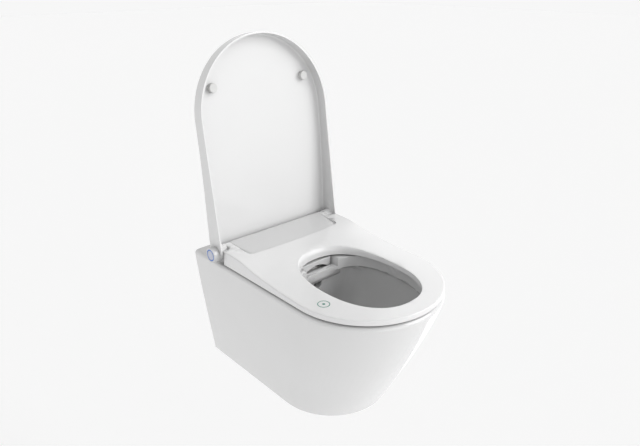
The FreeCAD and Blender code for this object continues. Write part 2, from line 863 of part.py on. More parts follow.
def aboveLid(drop):
    half = size.lidHalfWidth + size.overrun
    face = lidCurve(drop, size.rimHeight)
    face.translate(Vector(-half, 0, 0))
    return face.extrude(Vector(2 * half, 0, 0))


def lidClosed():
    hinge = size.rimHeight + size.hingeRise
    low = hinge - size.lidSkirt
    tall = size.lidSkirt * 2
    front = size.hingeSetback + lidReach
    tail = -size.hingeSetback + size.lidTail
    body = prismOf(dOutline(size.lidHalfWidth, front, tail, low), tall)
    body = body.cut(aboveLid(0))
    edges = [edge for edge in body.Edges if edge.BoundBox.ZMin > hinge]
    body = body.makeFillet(size.lidOuterEdge, edges)
    inner = prismOf(dOutline(size.lidHalfWidth - size.lidWall, front - size.lidWall, tail + size.overrun,
                             low - size.overrun), tall)
    inner = inner.cut(aboveLid(size.lidSkin))
    edges = [edge for edge in inner.Edges
             if edge.BoundBox.ZMin > hinge - size.lidWall and edge.BoundBox.YMin < -size.hingeSetback * 2]
    inner = inner.makeFillet(size.lidInnerEdge, edges)
    body = body.cut(inner)
    # behind the hinge line only the top is left
    behind = block((-size.lidHalfWidth - size.overrun, size.lidHalfWidth + size.overrun),
                   (-size.hingeSetback, tail + size.overrun), (low - size.overrun, hinge + size.lidTail))
    body = body.cut(behind)
    for side in (-1, 1):
        near, far = sorted((side * size.lidEarInner, side * size.lidHalfWidth))
        barrel = hingeRod(size.lidEarRadius, near, far)
        near, far = sorted((side * size.lidEarInner, side * (size.lidHalfWidth - size.lidWall / 2)))
        web = block((near, far), (-size.hingeSetback - size.lidTail, tail), (hinge, hinge + size.lidWebRise))
        body = body.multiFuse([barrel, web])
    half = size.lidHalfWidth + size.overrun
    return body.cut(hingeRod(size.bushRadius, -half, half))


def openLid(item):
    """Turns a piece modelled on the closed lid to where the photograph shows it."""
    hinge = Vector(0, -size.hingeSetback, size.rimHeight + size.hingeRise)
    item.Placement = Placement(Vector(), Rotation(Vector(1, 0, 0), -size.lidOpenAngle), hinge)
    return item


def lidHeightAt(away):
    """The lid's outside above the hinge line, in line between its two nearest stations."""
    share = away / lidReach
    for (near, low), (far, high) in zip(lidProfileShares, lidProfileShares[1:]):
        if near <= share <= far:
            return size.lidSkirt * (low + (high - low) * (share - near) / (far - near))
    raise ValueError(f"the lid doesn't reach {away}")


def seatHeightAt(away):
    n, part = divmod((away / seatFront - seatStartShare) / seatStepShare, 1)
    here, there = seatHeightShares[int(n)][0], seatHeightShares[int(n) + 1][0]
    return size.hingeRise * (here + (there - here) * part)


def lidBumpers():
    hinge = size.rimHeight + size.hingeRise
    away = bumperReach
    high = hinge + lidHeightAt(away) - size.lidSkin
    low = size.rimHeight + seatHeightAt(away + size.hingeSetback) + size.bodyGap
    discs = []
    for side in (-1, 1):
        disc = Part.makeCylinder(size.bumperRadius, high - low,
                                 Vector(side * size.bumperX, -size.hingeSetback - away, low))
        rim = [edge for edge in disc.Edges if edgeAt(edge, "Z", low)]
        discs.append(disc.makeFillet(size.bumperEdge, rim).cut(aboveLid(size.lidSkin)))
    return Part.makeCompound(discs)


node(openLid(feature("LidShell", lidClosed())), "lid_shell")
node(openLid(feature("LidBumpers", lidBumpers())), "lid_bumpers")

doc.recompute()


# Seat and lid fittings

def pair(name, label, radius, bore, near, far):
    """The same ring on the hinge line at both sides."""
    rings = []
    for side, low, high in (("Left", f"-({far})", f"-({near})"), ("Right", near, far)):
        rings.append(tube(name + side, radius, bore, "X", low, high, y=hingeY, z=hingeZ))
    return node(fuse(name, *rings), label)


pair("SeatBushes", "seat_bushes", "bushRadius - runningGap", "axleRadius + runningGap",
     "seatEarInner + bodyGap", "seatEarOuter - bodyGap")
pair("LidBushes", "lid_bushes", "bushRadius - runningGap", "axleRadius + runningGap",
     "lidEarInner + bodyGap", "lidHalfWidth - bodyGap")

buffers = []
for side in ("-1", "1"):
    for spot in ("front", "rear"):
        name = "Buffer" + spot + side.replace("-", "Left")
        buffers.append(rod(name.replace("1", ""), "bufferRadius", "Z", "rimHeight + bodyGap",
                           "rimHeight + seatLift", x=f"{side} * {spot}BufferX", y=f"-{bufferY[spot]}"))
node(fuse("SeatBuffers", *buffers), "seat_buffers")


# Housing

def housingSection(inset, foot):
    """The housing's outline seen from the side, drawn in by an inset, as a face."""
    rim = size.rimHeight
    middle = Vector(0, -size.hingeSetback, rim + size.hingeRise)
    radius = size.housingBarrel - inset
    lean = math.atan(size.housingSlope)
    crest = middle + Vector(0, -math.sin(lean), math.cos(lean)) * radius
    behind = middle + Vector(0, radius, 0)
    onArc = middle + Vector(0, math.cos(math.pi / 4), math.sin(math.pi / 4)) * radius
    nose = crest - Vector(0, math.cos(lean), math.sin(lean)) * size.housingFrontRadius * 1.2
    flange = rim + size.housingFlange - inset
    corners = [behind, Vector(0, behind.y, flange), Vector(0, -size.housingBack - inset, flange),
               Vector(0, -size.housingBack - inset, foot), Vector(0, nose.y, foot), nose, crest]
    edges = [Part.Arc(crest, onArc, behind).toShape()]
    edges += [Part.makeLine(a, b) for a, b in zip(corners, corners[1:])]
    return Part.Face(Part.Wire(edges))


def housingCover():
    foot = size.rimHeight + size.housingFoot
    wall = size.housingWall
    solids = []
    for inset, low in ((0, foot), (wall, foot - size.overrun)):
        half = size.housingHalfWidth - inset
        face = housingSection(inset, low)
        face.translate(Vector(-half, 0, 0))
        solids.append(face.extrude(Vector(2 * half, 0, 0)).common(housingCut(-inset)))
    cover = solids[0].cut(solids[1])
    half = size.housingHalfWidth + size.overrun
    cover = cover.cut(hingeRod(size.axleRadius + size.bodyGap, -half, half))
    for x in (-size.outerScrewX, -size.innerScrewX, size.innerScrewX, size.outerScrewX):
        cover = cover.cut(Part.makeCylinder(size.screwRadius + size.bodyGap, size.housingFlange * 2,
                                            Vector(x, -size.screwY, size.rimHeight)))
    return cover


node(feature("HousingCover", housingCover()), "housing_cover")


def trayBoxes(name, inset, top):
    """The main box of the base tray and its two deeper wells."""
    main = box(name + "Main", (f"-{traySide} + {inset}", f"{traySide} - {inset}"),
               (f"{trayFront} + {inset}", f"{trayBack} - {inset}"), (f"{trayFloor} + {inset}", top))
    boxes = [main]
    for side, low, high in (("Left", f"-{traySide} + {inset}", f"-sideWellInner - trayGap - {inset}"),
                            ("Right", f"sideWellInner + trayGap + {inset}", f"{traySide} - {inset}")):
        boxes.append(box(name + side, (low, high), (f"{trayFront} + {inset}", f"{trayBack} - {inset}"),
                         (f"rimHeight - sideWellDepth + trayGap + {inset}", f"{trayFloor} + {inset} + overrun")))
    corner = size.wellCorner - size.trayGap - (size.trayWall if inset != "0" else 0)
    return fuse(name, *[rounded(item.Name + "Round", item, corner, upright) for item in boxes])


def housingBase():
    outside = trayBoxes("Tray", "0", "rimHeight + trayRim")
    inside = trayBoxes("TrayHollow", "trayWall", "rimHeight + overrun")
    shell = cut("TrayShell", outside, inside)
    gate = box("TrayGate", ("-troughHalfWidth", "troughHalfWidth"),
               (f"{trayFront} - overrun", f"{trayFront} + trayWall + overrun"),
               ("rimHeight - troughDepth", "rimHeight + overrun"))
    holes = [gate]
    for side in ("-", ""):
        name = "Left" if side else "Right"
        holes.append(rod("TrayAnchor" + name, "anchorHoleRadius", "Z", f"{trayFloor} - overrun",
                         f"{trayFloor} + trayWall + overrun", x=f"{side}anchorX", y="-anchorY"))
        holes.append(rod("TrayService" + name, "inletShank + bodyGap", "Z",
                         "rimHeight - sideWellDepth", "rimHeight - sideWellDepth + trayGap + trayWall + overrun",
                         x=f"{side}serviceHoleX", y="-serviceHoleY"))
    shell = cut("TrayOpened", shell, *holes)
    extras = []
    for side, low, high in (("Left", f"-{traySide}", "-bearingInner"), ("Right", "bearingInner", traySide)):
        stand = box("Bearing" + side, (low, high),
                    (f"{hingeY} - bearingHalfWidth", f"{hingeY} + bearingHalfWidth"),
                    (f"{trayFloor} - overrun", f"{hingeZ} + bearingHalfWidth * 0.8"))
        bore = rod("BearingBore" + side, "axleRadius + runningGap", "X", f"{low} - overrun",
                   f"{high} + overrun", y=hingeY, z=hingeZ)
        extras.append(cut("BearingBlock" + side, stand, bore))
    for number, x in enumerate(("-outerScrewX", "-innerScrewX", "innerScrewX", "outerScrewX")):
        floor = trayFloor if "inner" in x else "(rimHeight - sideWellDepth + trayGap)"
        extras.append(tube(f"ScrewBoss{number}", "screwBoss", "screwRadius + runningGap", "Z",
                           f"{floor} + trayWall / 2 + overrun", "rimHeight + housingFlange - housingWall - trayRim",
                           x=x, y="-screwY"))
        extras.append(rod(f"ScrewBossFoot{number}", "screwBoss", "Z", f"{floor} + trayWall / 2",
                          f"{floor} + trayWall + overrun * 2", x=x, y="-screwY"))
    for number, (x, y) in enumerate(boardPosts):
        floor = trayFloor if number < 2 else "(rimHeight - sideWellDepth + trayGap)"
        extras.append(rod(f"BoardPost{number}", "boardPostRadius", "Z", f"{floor} + trayWall / 2",
                          "rimHeight + boardLift", x=x, y=y))
    return fuse("HousingBase", shell, *extras)


boardPosts = [("-boardInner - boardPostInset", "-boardFront + boardPostInset"),
              ("-boardInner - boardPostInset", "-boardBack - boardPostInset"),
              ("-boardOuter + boardPostInset", "-boardFront + boardPostInset"),
              ("-boardOuter + boardPostInset", "-boardBack - boardPostInset")]
node(housingBase(), "housing_base")

screws = []
for number, x in enumerate(("-outerScrewX", "-innerScrewX", "innerScrewX", "outerScrewX")):
    shank = rod(f"ScrewShank{number}", "screwRadius", "Z", "rimHeight - screwLength",
                "rimHeight + housingFlange + runningGap", x=x, y="-screwY")
    head = rod(f"ScrewHead{number}", "screwHead", "Z", "rimHeight + housingFlange + runningGap",
               "rimHeight + housingFlange + screwRadius", x=x, y="-screwY")
    slot = rod(f"ScrewSocket{number}", "screwRadius * 0.7", "Z", "rimHeight + housingFlange + screwRadius / 2",
               "rimHeight + housingFlange + screwRadius + overrun", x=x, y="-screwY")
    screws.append(cut(f"Screw{number}", fuse(f"ScrewBlank{number}", shank, head), slot))
node(fuse("CoverScrews", *screws), "cover_screws")


plateLow = f"({trayFloor} + trayWall + trayRim)"
plateHigh = f"({plateLow} + plateThickness)"
plate = box("PlateBlank", ("-plateHalf", "plateHalf"), ("-plateFront", "-wandTail"), (plateLow, plateHigh))
plate = rounded("PlateRound", plate, size.anchorHoleRadius, upright)
slots = [rod("PlateHole" + side, "boltShank + bodyGap", "Z", f"{plateLow} - overrun", f"{plateHigh} + overrun",
             x=x, y="-anchorY") for side, x in (("Left", "-anchorX"), ("Right", "anchorX"))]
node(cut("MountingPlate", plate, *slots), "mounting_plate")

bolts = []
for side, x in (("Left", "-anchorX"), ("Right", "anchorX")):
    top = f"({plateHigh} + runningGap)"
    under = "(rimHeight - wellDepth - ceramicWall - bodyGap)"
    bolts.append(fuse("AnchorBolt" + side,
                      rod("AnchorHead" + side, "boltShank * 1.8", "Z", top, f"{top} + boltShank", x=x, y="-anchorY"),
                      rod("AnchorShank" + side, "boltShank", "Z", f"{under} - boltShank * 4", f"{top} + overrun / 3",
                          x=x, y="-anchorY"),
                      rod("AnchorNut" + side, "boltShank * 1.9", "Z", f"{under} - boltShank * 2", under,
                          x=x, y="-anchorY")))
node(fuse("MountingBolts", *bolts), "mounting_bolts")


# Hinge line fittings

leftAxle = rod("AxleLeft", "axleRadius", "X", "-axleKnobEnd", "-axleInner", y=hingeY, z=hingeZ)
rightAxle = rod("AxleRight", "axleRadius", "X", "axleInner", "axleOuter", y=hingeY, z=hingeZ)
node(fuse("HingeAxles", leftAxle, rightAxle), "hinge_axles")
for name, label, low, high in (("LidDamper", "lid_damper", "-axleInner + bodyGap", "-damperInner"),
                               ("SeatDamper", "seat_damper", "damperInner", "axleInner - bodyGap")):
    barrel = ("Pad", ["damperRadius"], low, high)
    waist = ("Pocket", ["damperRadius + overrun", "damperRadius * 0.86"],
             f"({low}) + damperRadius", f"({low}) + damperRadius * 1.3")
    rib = ("Pocket", ["damperRadius + overrun", "damperRadius * 0.86"],
           f"({high}) - damperRadius * 1.3", f"({high}) - damperRadius")
    node(turned(name, "YZ_Plane", [barrel, waist, rib], y=hingeY, z=hingeZ), label)

cap = turned("HingeCap", "YZ_Plane", [("Pad", ["knobBaseRadius"], "lidHalfWidth + bodyGap / 4",
                                       "lidHalfWidth + bodyGap / 4 + capThickness")], y=hingeY, z=hingeZ)
capEnd = size.lidHalfWidth + size.bodyGap / 4 + size.capThickness
bodyFillet(cap, "capThickness / 3", lambda edge: edgeAt(edge, "X", capEnd))
node(cap, "hinge_cap")

node(turned("KnobBase", "YZ_Plane", [
    ("Pad", ["knobBaseRadius", "axleRadius + runningGap"], "-knobBaseEnd", "-knobBaseStart"),
    ("Pocket", ["knobBaseRadius * 0.85", "knobBaseRadius * 0.5"], "-knobBaseEnd", "-knobBaseEnd + capThickness"),
], y=hingeY, z=hingeZ), "knob_base")

knob = turned("ControlKnob", "YZ_Plane", [("Pad", ["knobRadius"], "-knobEnd", "-knobStart")], y=hingeY, z=hingeZ)
bodyFillet(knob, "knobEdge", lambda edge: edgeAt(edge, "X", -size.knobEnd))
layer(knob, "Pocket", discs("buttonRadius + buttonGap"), "-knobEnd", "-knobEnd + buttonDepth")
layer(knob, "Pocket", discs("ringOuter", "ringInner"), "-knobEnd", "-knobEnd + ringDepth")
layer(knob, "Pocket", discs("axleRadius + runningGap"), "-knobStart - knobBoreDepth", "-knobStart")
node(knob, "control_knob")

node(turned("KnobRing", "YZ_Plane", [
    ("Pad", ["ringOuter - runningGap * 2", "ringInner + runningGap * 2"], "-knobEnd + buttonProud",
     "-knobEnd + ringDepth - runningGap * 2"),
], y=hingeY, z=hingeZ), "knob_light_ring")

button = turned("KnobButton", "YZ_Plane", [
    ("Pad", ["buttonRadius"], "-knobEnd - buttonProud", "-knobEnd - buttonProud + buttonThickness"),
], y=hingeY, z=hingeZ)
buttonFace = -size.knobEnd - size.buttonProud
bodyFillet(button, "knobEdge / 2", lambda edge: edgeAt(edge, "X", buttonFace))
node(button, "knob_button")


# Wand, its drive and its cradle

wandBody = rod("WandBarrel", "wandRadius", "Y", "-wandTip + tipLength", "-wandTail", z=wandZ)
rackBar = box("RackBar", ("wandBore + guideGap", "rackRoot"), ("-rackFront", "-wandTail - capThickness"),
              (f"{wandZ} - rackHalfHeight", f"{wandZ} + rackHalfHeight"))
wandHollow = rod("WandHollow", "wandBore", "Y", "-wandTip + tipLength - overrun", "-wandTail + overrun", z=wandZ)
wandCore = cut("WandCore", fuse("WandBlank", wandBody, rackBar), wandHollow)


def rackTeeth():
    """The rack's straight-sided teeth, set so that a gap faces the pinion's middle."""
    pitch = math.pi * size.gearModule
    height = size.rimHeight - size.wandDrop
    root, tip = size.rackRoot, size.rackRoot + size.rackTooth
    middle = pitch / 4 - size.backlash
    lean = math.tan(math.radians(size.pressureAngle))
    wide, narrow = middle + size.rackTooth * 0.55 * lean, middle - size.rackTooth * 0.45 * lean
    teeth = []
    y = -size.pinionY - pitch / 2
    while y - pitch / 2 > -size.rackFront:
        y -= pitch
    while y + pitch / 2 < -size.wandTail - size.capThickness:
        if y - pitch / 2 > -size.rackFront:
            corners = [Vector(root - size.guideGap, y - wide), Vector(tip, y - narrow),
                       Vector(tip, y + narrow), Vector(root - size.guideGap, y + wide)]
            wire = Part.makePolygon([corner + Vector(0, 0, height - size.rackHalfHeight)
                                     for corner in corners + corners[:1]])
            teeth.append(prismOf(wire, size.rackHalfHeight * 2))
        y += pitch
    return Part.makeCompound(teeth)


node(fuse("WandTube", wandCore, feature("RackTeeth", rackTeeth())), "wand_tube")

tipBody = rod("TipBarrel", "wandRadius", "Y", "-wandTip", "-wandTip + tipLength - guideGap", z=wandZ)
tipRound = rounded("TipRound", tipBody, size.wandRadius * 0.6, lambda edge: edgeAt(edge, "Y", -size.wandTip))
spigot = rod("TipSpigot", "wandBore - guideGap", "Y", "-wandTip + tipLength - overrun",
             "-wandTip + tipLength + wandRadius", z=wandZ)
channel = rod("TipChannel", "wandBore / 2", "Y", "-wandTip + wandRadius",
              "-wandTip + tipLength + wandRadius + overrun", z=wandZ)
jets = [rod(f"TipJet{number}", "jetRadius", "Z", wandZ, f"{wandZ} + wandRadius + overrun",
            y=f"-wandTip + wandRadius + jetStep * {number + 1}") for number in range(3)]
node(cut("NozzleTip", fuse("TipBlank", tipRound, spigot), channel, *jets), "nozzle_tip")

motorLow = "(rimHeight - motorLift)"
motorMiddle = dict(x=pinionX, y="-pinionY")
motor = turned("WandMotor", "XY_Plane", [
    ("Pad", ["motorRadius"], motorLow, f"{motorLow} + motorHeight"),
    ("Pad", ["shaftRadius"], f"{wandZ} - pinionHalfHeight", f"{motorLow} + runningGap"),
], **motorMiddle)
motorTop = size.rimHeight - size.motorLift + size.motorHeight
bodyFillet(motor, "capThickness / 3", lambda edge: edgeAt(edge, "Z", motorTop))
node(motor, "wand_motor")

pinionLow, pinionHigh = f"({wandZ} - pinionHalfHeight)", f"({wandZ} + pinionHalfHeight)"
pitchRadius = "gearModule * pinionTeeth / 2"
pinion = turned("DrivePinion", "XY_Plane", [("Pad", [f"{pitchRadius} - gearModule * 1.2"], pinionLow, pinionHigh)],
                **motorMiddle)
baseRadius = size.gearModule * size.pinionTeeth / 2 * math.cos(math.radians(size.pressureAngle))


def toothHalf(radius):
    """Half a tooth's thickness at a radius on its involute flank."""
    pitch = size.gearModule * size.pinionTeeth / 2
    angle = math.radians(size.pressureAngle)
    here = math.acos(min(1, baseRadius / radius))
    turn = (math.pi / 4 * size.gearModule - size.backlash) / pitch
    turn += math.tan(angle) - angle - math.tan(here) + here
    return radius * turn


pitchSize = size.gearModule * size.pinionTeeth / 2
flank = [pitchSize - size.gearModule * 1.35, baseRadius, pitchSize + size.gearModule * 0.2,
         pitchSize + size.gearModule * 0.9]
corners = [(r, toothHalf(max(r, baseRadius)) * (r / max(r, baseRadius))) for r in flank]
outline = [(f"gearModule * {r / size.gearModule}", f"gearModule * {h / size.gearModule}") for r, h in corners]
outline = [(r, "-" + h) for r, h in outline] + outline[::-1]
tooth = layer(pinion, "Pad", lambda sketch: drawPolygon(sketch, outline), pinionLow, pinionHigh)
around(pinion, tooth, "pinionTeeth")
layer(pinion, "Pocket", discs("shaftRadius + runningGap"), f"{pinionLow} - overrun", f"{pinionHigh} + overrun")
node(pinion, "drive_pinion")

cradleLow, cradleTop = "(rimHeight - cradleDrop)", "(rimHeight - cradleDrop + cradleThickness)"
cradle = [box("CradlePlate", ("-cradleHalfWidth", "cradleHalfWidth"), ("-guideFrontY", "-wandTail"),
              (cradleLow, cradleTop))]
for name, front in (("Front", "-guideFrontY"), ("Back", "-guideBackY")):
    cradle.append(box("Guide" + name, ("-guideHalfWidth", "guideHalfWidth"), (front, f"{front} + guideLength"),
                      (f"{cradleTop} - runningGap", f"{wandZ} + wandRadius + capThickness")))
for number, (x, y) in enumerate((("-1", "-wellFront + trayWall * 3"), ("1", "-wellFront + trayWall * 3"),
                                 ("-1", "-plateFront - trayWall * 4"), ("1", "-plateFront - trayWall * 4"))):
    cradle.append(rod(f"CradleFoot{number}", "boardPostRadius", "Z", f"{trayFloor} + trayWall + runningGap",
                      f"{cradleLow} + runningGap", x=f"{x} * cradleHalfWidth * 0.7", y=y))
bracketLow, bracketHigh = f"({motorLow} - cradleThickness - runningGap)", f"({motorLow} - runningGap)"
motorFront, motorBack = "-pinionY - motorRadius", "-pinionY + motorRadius"
cradle.append(box("MotorWall", ("cradleHalfWidth - cradleThickness", "cradleHalfWidth"), (motorFront, motorBack),
                  (f"{cradleTop} - runningGap", bracketHigh)))
cradle.append(box("MotorShelf", ("wandRadius + capThickness", "cradleHalfWidth"), (motorFront, motorBack),
                  (bracketLow, bracketHigh)))
holes = [rod("WandWay", "wandRadius + guideGap", "Y", "-guideFrontY - overrun", "-wandTail + overrun", z=wandZ),
         box("RackWay", ("0", "guideHalfWidth + overrun"),
             ("-guideFrontY - overrun", "-guideBackY + guideLength + overrun"),
             (f"{wandZ} - rackHalfHeight - bodyGap", f"{wandZ} + rackHalfHeight + bodyGap")),
         rod("ShaftWay", "shaftRadius + bodyGap", "Z", f"{bracketLow} - overrun", f"{bracketHigh} + overrun",
             **motorMiddle)]
node(cut("NozzleCradle", fuse("CradleBlank", *cradle), *holes), "nozzle_cradle")


def nozzleCover():
    """The fixed guard in front of the wand, with an arch that the wand passes under."""
    rim = size.rimHeight
    wall = size.guardThickness
    half = size.guardHalfWidth
    top = rim - size.housingFoot
    bottom = rim - size.guardDrop
    body = block((-half, half), (-size.guardFace, -size.guardBack), (bottom, top))
    edges = [edge for edge in body.Edges if edgeAt(edge, "Z", top) and edgeAt(edge, "Y", -size.guardFace)]
    corners = [edge for edge in body.Edges
               if upright(edge) and edgeAt(edge, "Y", -size.guardFace)]
    body = body.makeFillet(size.wellCorner / 2, corners)
    front = [edge for edge in body.Edges
             if edgeAt(edge, "Z", top) and edge.BoundBox.YMin < -size.guardFace + wall * 3]
    body = body.makeFillet(wall * 0.6, front)
    inner = block((-half + wall, half - wall), (-size.guardFace + wall, -size.guardBack + size.overrun),
                  (bottom - size.overrun, top - wall))
    body = body.cut(inner)
    apex = Vector(0, -size.guardFace - size.overrun, rim - size.archDrop)
    reach, drop = size.archHalfWidth, rim - size.archEndDrop
    foot = bottom - size.overrun
    spread = reach * 1.04
    points = []
    for n in range(-4, 5):
        share = n / 4
        points.append(Vector(reach * share, apex.y, apex.z - (apex.z - drop) * share ** 2))
    curve = Part.BSplineCurve()
    curve.interpolate(points)
    ends = [Vector(spread, apex.y, foot), Vector(-spread, apex.y, foot)]
    edges = [curve.toShape(), Part.makeLine(points[-1], ends[0]), Part.makeLine(ends[0], ends[1]),
             Part.makeLine(ends[1], points[0])]
    arch = Part.Face(Part.Wire(edges)).extrude(Vector(0, wall + 2 * size.overrun, 0))
    return body.cut(arch)


node(feature("NozzleCover", nozzleCover()), "nozzle_cover")
node(box("NightLight", ("-lightX - lightLength", "-lightX"), ("-lightY - lightDepth", "-lightY"),
         ("rimHeight - housingFoot - guardThickness - bodyGap - lightHeight",
          "rimHeight - housingFoot - guardThickness - bodyGap")), "night_light")


# Warm air dryer

blowerAt = dict(y="-blowerY", z=blowerZ)
blowerEnd = "(blowerX + blowerWidth)"
ductLow, ductHigh = "(rimHeight - ductBottom)", "(rimHeight - ductTop)"
shellParts = [rod("BlowerWall", "blowerRadius", "X", "blowerX", blowerEnd, **blowerAt),
              box("BlowerNeck", ("ductLeft", "ductRight"), ("-ductStart", "-blowerY"), (ductLow, ductHigh))]
hollowParts = [rod("BlowerHollow", "blowerRadius - blowerWall", "X", "blowerX + blowerWall",
                   f"{blowerEnd} - blowerWall", **blowerAt),
               box("BlowerMouth", ("ductLeft + ductWall", "ductRight - ductWall"),
                   ("-ductStart - overrun", "-blowerY"), (f"{ductLow} + ductWall", f"{ductHigh} - ductWall")),
               rod("BlowerInlet", "blowerInlet", "X", "blowerX - overrun", "blowerX + blowerWall + overrun",
                   **blowerAt),
               rod("BlowerShaftWay", "shaftRadius + bodyGap", "X", f"{blowerEnd} - blowerWall - overrun",
                   f"{blowerEnd} + overrun", **blowerAt)]
node(cut("BlowerHousing", fuse("BlowerShell", *shellParts), *hollowParts), "blower_housing")

fanLow, fanHigh = "(blowerX + blowerWall + capThickness)", f"({blowerEnd} - blowerWall - capThickness)"
fan = turned("BlowerFan", "YZ_Plane", [
    ("Pad", ["fanRadius"], f"{fanHigh} - ductWall", fanHigh),
    ("Pad", ["fanHub"], fanLow, f"{fanHigh} - ductWall / 2"),
], **blowerAt)
blade = layer(fan, "Pad", rectangle(("fanHub * 1.6", "fanRadius"), ("0", "ductWall")),
              fanLow, f"{fanHigh} - ductWall / 2")
around(fan, blade, "fanBlades")
layer(fan, "Pocket", discs("shaftRadius + runningGap"), f"{fanLow} - overrun", f"{fanHigh} + overrun")
node(fan, "blower_fan")

motorStart = f"({blowerEnd} + bodyGap)"
blowerMotor = turned("BlowerMotor", "YZ_Plane", [
    ("Pad", ["blowerMotorRadius"], motorStart, f"{motorStart} + blowerMotorLength"),
    ("Pad", ["shaftRadius"], f"{fanLow} + capThickness", f"{motorStart} + runningGap"),
], **blowerAt)
blowerMotorEnd = size.blowerX + size.blowerWidth + size.bodyGap + size.blowerMotorLength
bodyFillet(blowerMotor, "capThickness / 2", lambda edge: edgeAt(edge, "X", blowerMotorEnd))
node(blowerMotor, "blower_motor")

flapAt = dict(y="-ductEnd - flapPin - bodyGap", z="rimHeight - flapPinDrop")
ductParts = [box("DuctWall", ("ductLeft", "ductRight"), ("-ductEnd", "-ductStart - bodyGap"), (ductLow, ductHigh))]
for name, low, high in (("Left", "ductLeft - flapEar", "ductLeft + ductWall / 2"),
                        ("Right", "ductRight - ductWall / 2", "ductRight + flapEar")):
    ductParts.append(box("FlapEar" + name, (low, high), ("-ductEnd - flapPin * 3", "-ductEnd + overrun"),
                         ("rimHeight - flapPinDrop - flapPin * 2.5", "rimHeight - flapPinDrop + flapPin * 2")))
ductHoles = [box("DuctHollow", ("ductLeft + ductWall", "ductRight - ductWall"),
                 ("-ductEnd - overrun", "-ductStart + overrun"),
                 (f"{ductLow} + ductWall", f"{ductHigh} - ductWall")),
             rod("FlapPinWay", "flapPin + runningGap", "X", "ductLeft - flapEar - overrun",
                 "ductRight + flapEar + overrun", **flapAt)]
node(cut("DryerDuct", fuse("DuctBlank", *ductParts), *ductHoles), "dryer_duct")
flapPlate = box("FlapPlate", ("ductLeft + ductWall / 2 + bodyGap", "ductRight - ductWall / 2 - bodyGap"),
                ("-ductEnd - flapPin - bodyGap - flapThickness / 2",
                 "-ductEnd - flapPin - bodyGap + flapThickness / 2"),
                (f"{ductLow} + bodyGap", "rimHeight - flapPinDrop"))
flapRod = rod("FlapRod", "flapPin", "X", "ductLeft - flapEar + runningGap",
              "ductRight + flapEar - runningGap", **flapAt)
node(fuse("DryerFlap", flapPlate, flapRod), "dryer_flap")


# Water and electrics in the housing

leftWell = "(rimHeight - sideWellDepth + trayGap + trayWall)"
trayUnder = "(rimHeight - sideWellDepth + trayGap)"
service = {"Left": dict(x="-serviceHoleX", y="-serviceHoleY"), "Right": dict(x="serviceHoleX", y="-serviceHoleY")}


def throughFitting(name, spot, foot, bore, head):
    """A flanged tube held through the tray and the deck by a nut from below."""
    pieces = [
        rod(name + "Shank", "inletShank", "Z", foot, f"{leftWell} + overrun", **spot),
        rod(name + "Flange", "inletFlange", "Z", f"{leftWell} + trayRim",
            f"{leftWell} + trayRim + overrun", **spot),
        rod(name + "Nut", "inletFlange - runningGap", "Z", f"{trayUnder} - bodyGap - inletShank",
            f"{trayUnder} - bodyGap", **spot),
        rod(name + "Head", head, "Z", f"{leftWell} + overrun", f"{leftWell} + overrun * 2", **spot),
    ]
    way = rod(name + "Way", bore, "Z", f"{foot} - overrun * 4", f"{leftWell} + overrun * 3", **spot)
    return pieces, way


pieces, way = throughFitting("PowerGland", service["Left"], "rimHeight - fittingDrop + overrun * 2", "cordRadius",
                             "inletShank - overrun / 2")
pieces.append(rod("PowerGlandDome", "inletShank - overrun / 2", "Z", "rimHeight - fittingDrop",
                  "rimHeight - fittingDrop + overrun * 2.5", **service["Left"]))
node(cut("PowerGland", fuse("PowerGlandBlank", *pieces), way), "power_gland")
pieces, way = throughFitting("WaterInlet", service["Right"], "rimHeight - fittingDrop", "cordRadius",
                             "inletShank * 0.7")
node(cut("WaterInlet", fuse("WaterInletBlank", *pieces), way), "water_inlet_fitting")

filterLow = f"({leftWell} + overrun * 2 + bodyGap)"
filterHigh = f"({filterLow} + filterLength)"
filterBody = turned("InletFilter", "XY_Plane", [
    ("Pad", ["filterRadius"], filterLow, filterHigh),
    ("Pocket", ["filterRadius + overrun", "filterRadius * 0.85"],
     f"{filterLow} + overrun", f"{filterLow} + overrun * 1.5"),
    ("Pocket", ["filterRadius + overrun", "filterRadius * 0.85"], f"{filterHigh} - overrun * 1.5",
     f"{filterHigh} - overrun"),
], **service["Right"])
node(filterBody, "inlet_filter")

valveBase = rounded("ValveRound", box("ValveBlock", ("valveX", "valveX + valveLength"),
                                      ("-valveY - valveDepth", "-valveY"),
                                      (f"{leftWell} + overrun", f"{leftWell} + valveRise")), size.overrun, upright)
coilAt = dict(x="valveX + valveDepth / 2", y="-valveY - valveDepth / 2")
coil = [rod("ValveCoil", "filterRadius * 0.9", "Z", f"{leftWell} + valveRise - runningGap",
            f"{leftWell} + valveRise + coilHeight", **coilAt),
        rod("ValveStem", "filterRadius / 3", "Z", f"{leftWell} + valveRise",
            f"{leftWell} + valveRise + coilHeight + overrun", **coilAt)]
node(fuse("SolenoidValve", valveBase, *coil), "solenoid_valve")

pumpAt = dict(y="-pumpY", z="rimHeight - pumpDrop")
pumpFoot = box("PumpFoot", ("pumpX + pumpRadius / 2", "pumpX + pumpLength - pumpRadius"),
               ("-pumpY - pumpRadius * 0.8", "-pumpY + pumpRadius * 0.8"),
               (f"{leftWell} + trayRim", "rimHeight - pumpDrop - pumpRadius / 2"))
pumpHead = rod("PumpHead", "pumpRadius", "X", "pumpX", "pumpX + pumpRadius", **pumpAt)
pumpBody = rod("PumpBody", "pumpRadius * 0.86", "X", "pumpX + pumpRadius - runningGap",
               "pumpX + pumpLength", **pumpAt)
pumpEnd = rod("PumpEnd", "pumpRadius", "X", "pumpX + pumpLength - overrun * 2",
              "pumpX + pumpLength", **pumpAt)
node(fuse("WaterPump", pumpFoot, pumpHead, pumpBody, pumpEnd), "water_pump")

